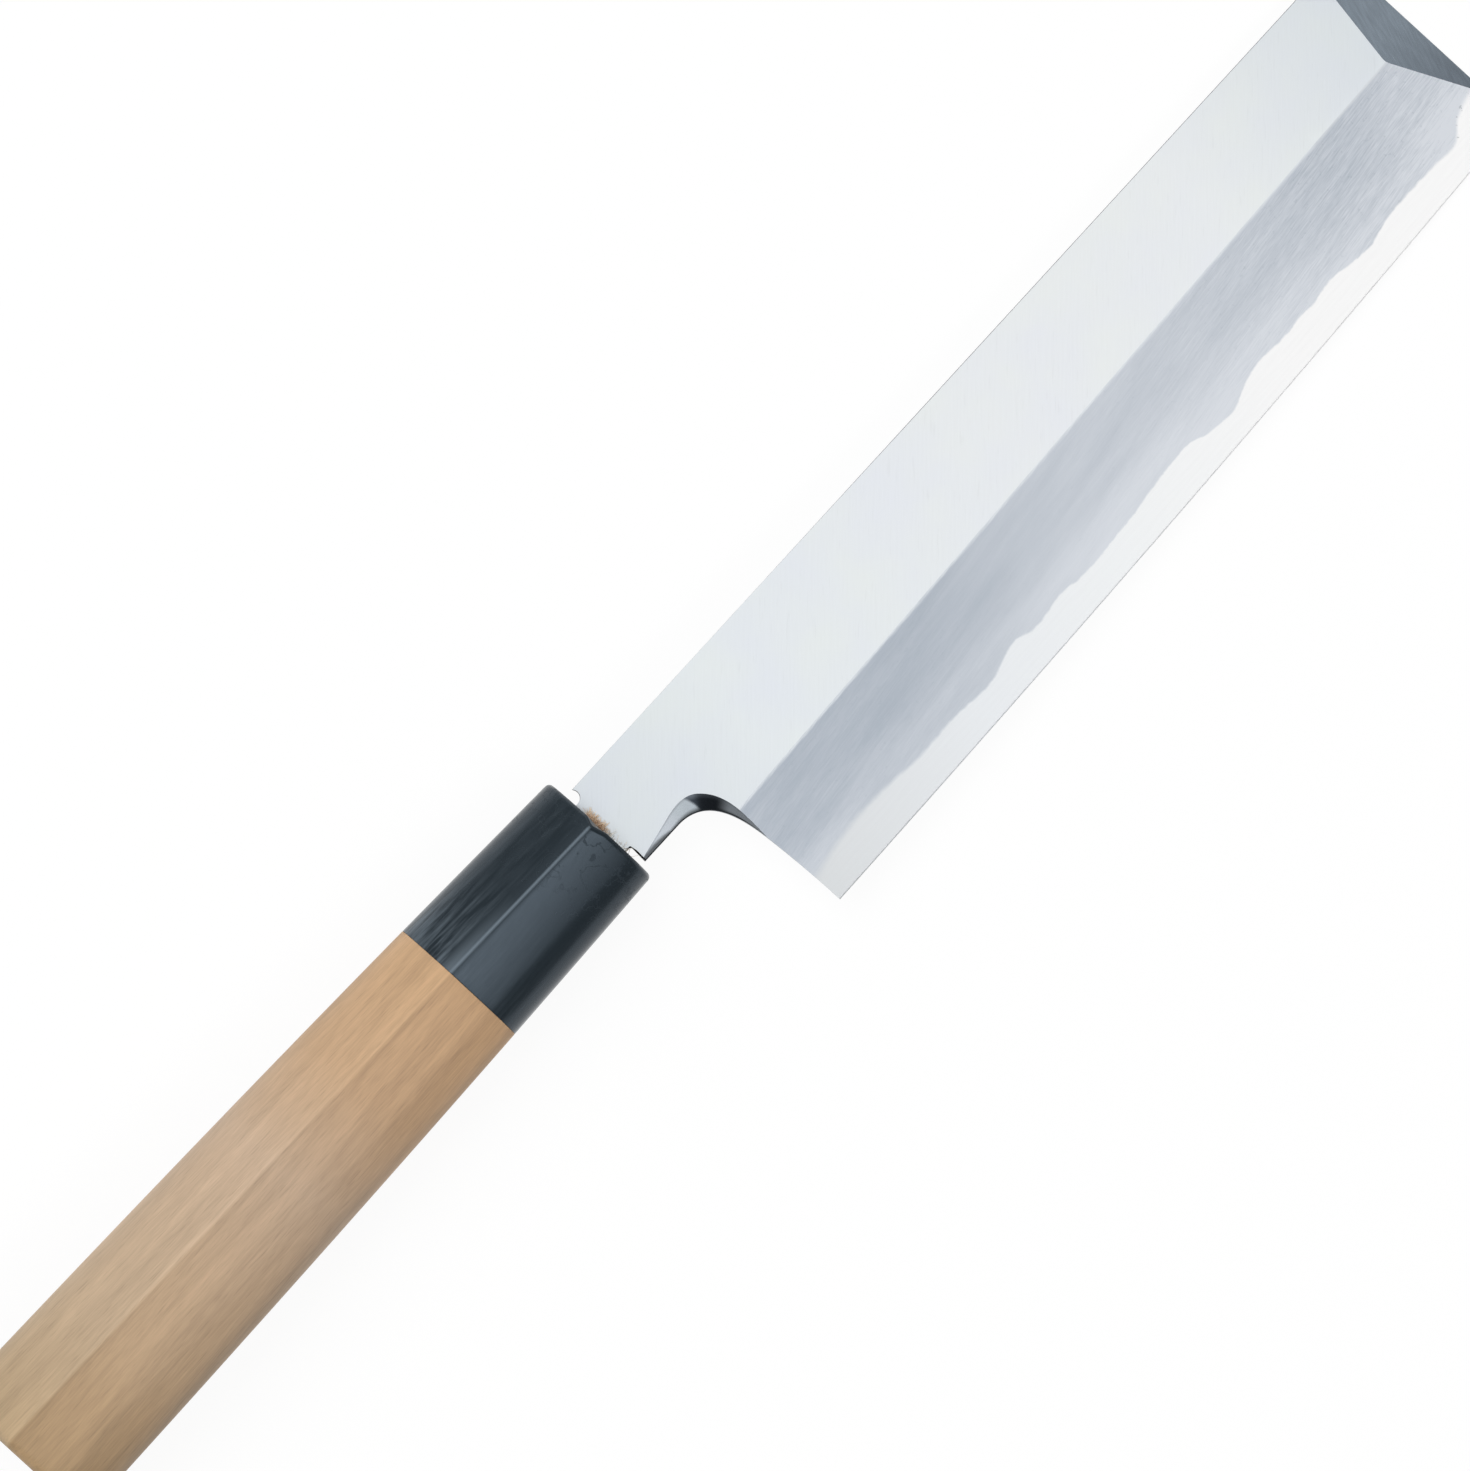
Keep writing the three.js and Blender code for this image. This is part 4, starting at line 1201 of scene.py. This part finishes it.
def makeGrip(tree):
    wood = magnoliaWood()
    bm = grow(tree, {**handle, "Back": grip["back"] + grip["buttRound"], "Front": grip["front"],
                     "Stations": grip["stations"], "Material": wood})
    backRing, frontRing = openRings(bm)
    ring = nextRing(bm, frontRing, grip["front"], oval(fit["tenonGrow"] + fit["boreSpread"]))
    ring = nextRing(bm, ring, grip["tenonEnd"], oval(fit["tenonGrow"]))
    ring = nextRing(bm, ring, grip["tenonEnd"], oval(fit["pocketGrow"]))
    # the pocket and the socket are charred
    tangEnd = -blade["tangLength"]
    pocketEnd = grip["pocketEnd"]
    for x, outline in ((pocketEnd, oval(fit["pocketGrow"])), (pocketEnd, slot(pocketEnd)),
                       (tangEnd, slot(tangEnd)), (grip["slotEnd"], slot(tangEnd))):
        ring = nextRing(bm, ring, x, outline, 1)
    bm.faces.new(ring).material_index = 1
    roundEnd(bm, backRing, grip["buttRound"], grip["buttSteps"])
    closeUp(bm)
    roundRim(bm, frontRing, grip["jointRound"], grip["jointSteps"])
    piece = makePiece("handleGrip", bm, [wood, charredWood()], grip["creaseAngle"])
    finishPiece(piece, "handle_grip")


skinTree = handleSkinTree()
makeFerrule(skinTree)
makeGrip(skinTree)
print("handle ready")


# Packing: a plug of fibre round the tang with loose strands standing out of its mouth
packing = {"back": -4.0, "front": -0.3, "around": 64, "creaseAngle": 40}
strands = {
    "Strands": 50.0, "Straw Share": 0.12, "Brown From": -0.5, "Brown To": 3.2, "Above": 3.6, "Shortest": 0.4,
    "Length": 2.3, "Thickness": 0.04, "Lean": 0.8, "Lift": 0.3, "Seed": 4,
}


def strandTree():
    tree, add, given = startTree("loose strands", {
        "Geometry": "Geometry", **dict.fromkeys(strands, "Float"), "Seed": "Int", "Material": "Material"})
    normal = add("GeometryNodeInputNormal")
    facing = add("ShaderNodeSeparateXYZ", {0: normal}).outputs["X"]
    mouth = add("FunctionNodeCompare", {"A": facing, "B": 0.5}, operation="GREATER_THAN")
    anywhere = add("GeometryNodeDistributePointsOnFaces", {
        "Mesh": given["Geometry"], "Selection": mouth, "Density": given["Strands"], "Seed": given["Seed"]})

    # none below the tang or far up the spine side, and few on the edge side
    at = add("ShaderNodeSeparateXYZ", {0: add("GeometryNodeInputPosition")}).outputs
    low = add("FunctionNodeCompare", {"A": at["Z"], "B": given["Above"]}, operation="LESS_THAN")
    straw = add("FunctionNodeCompare", {"A": at["Y"], "B": given["Brown From"]}, operation="LESS_THAN")
    left = add("ShaderNodeMath", {0: 1.0, 1: given["Straw Share"]}, operation="SUBTRACT")
    picked = add("FunctionNodeRandomValue", {"Probability": left}, data_type="BOOLEAN")
    thin = add("FunctionNodeBooleanMath", {0: straw, 1: picked}, operation="AND")
    far = add("FunctionNodeCompare", {"A": at["Y"], "B": given["Brown To"]}, operation="GREATER_THAN")
    out = add("FunctionNodeBooleanMath", {0: low, 1: thin}, operation="OR")
    out = add("FunctionNodeBooleanMath", {0: out, 1: far}, operation="OR")
    roots = add("GeometryNodeDeleteGeometry", {"Geometry": anywhere, "Selection": out}, domain="POINT")

    # one bent strand, turned and stretched at each root
    bend = add("GeometryNodeCurveQuadraticBezier", {
        "Resolution": 5, "Start": (0, 0, -0.3), "Middle": (0.35, 0, 0.4), "End": (-0.1, 0, 1)})
    thread = add("GeometryNodeCurvePrimitiveCircle", {
        "Resolution": 4, "Radius": given["Thickness"]}, mode="RADIUS")
    strand = add("GeometryNodeCurveToMesh", {"Curve": bend, "Profile Curve": thread, "Fill Caps": True})
    lean = add("ShaderNodeMath", {0: given["Lean"], 1: -1.0}, operation="MULTIPLY")
    least = add("ShaderNodeCombineXYZ", {"X": lean, "Y": lean, "Z": -math.pi})
    most = add("ShaderNodeCombineXYZ", {"X": given["Lean"], "Y": given["Lean"], "Z": math.pi})
    tilt = add("FunctionNodeRandomValue", {"Min": least, "Max": most, "Seed": given["Seed"]},
               data_type="FLOAT_VECTOR")
    forward = add("ShaderNodeMath", {0: math.pi / 2, 1: given["Lift"]}, operation="SUBTRACT")
    forward = add("ShaderNodeCombineXYZ", {"Y": forward})
    facingUp = add("FunctionNodeRotateEuler", {"Rotation": forward, "Rotate By": tilt}, space="LOCAL")
    length = add("FunctionNodeRandomValue", {
        "Min": given["Shortest"], "Max": given["Length"], "Seed": given["Seed"]})
    size = add("ShaderNodeCombineXYZ", {"X": 1.0, "Y": 1.0, "Z": length})
    tuft = add("GeometryNodeInstanceOnPoints", {
        "Points": roots, "Instance": strand, "Rotation": facingUp, "Scale": size})
    tone = add("FunctionNodeRandomValue", {"Min": 0.1, "Max": 1.0, "Seed": given["Seed"]})
    tuft = add("GeometryNodeStoreNamedAttribute", {
        "Geometry": tuft, "Name": "strandTone", "Value": tone}, data_type="FLOAT", domain="INSTANCE")
    both = add("GeometryNodeJoinGeometry", {0: given["Geometry"]})
    connect(both, {0: tuft})
    endTree(add, both, given["Material"])
    return tree


def makePacking():
    bm = bmesh.new()
    outline = oval(0)
    first = []
    for k in range(packing["around"]):
        y, z = outline(2 * math.pi * k / packing["around"])
        first.append(bm.verts.new((packing["back"], y, axisLift + z)))
    ring = nextRing(bm, first, packing["front"], outline)
    ring = nextRing(bm, ring, packing["front"], slot(0))
    ring = nextRing(bm, ring, packing["back"], slot(packing["back"]))
    joinRings(bm, ring, first, 0)
    closeUp(bm)
    plug = bpy.data.meshes.new("plug")
    bm.to_mesh(plug)
    bm.free()
    fibre = plantFibre()
    bm = grow(strandTree(), {**strands, "Material": fibre}, plug)
    piece = makePiece("tangPacking", bm, [fibre], packing["creaseAngle"])
    finishPiece(piece, "tang_packing")
    print("packing:", len(piece.data.polygons), "faces")


makePacking()
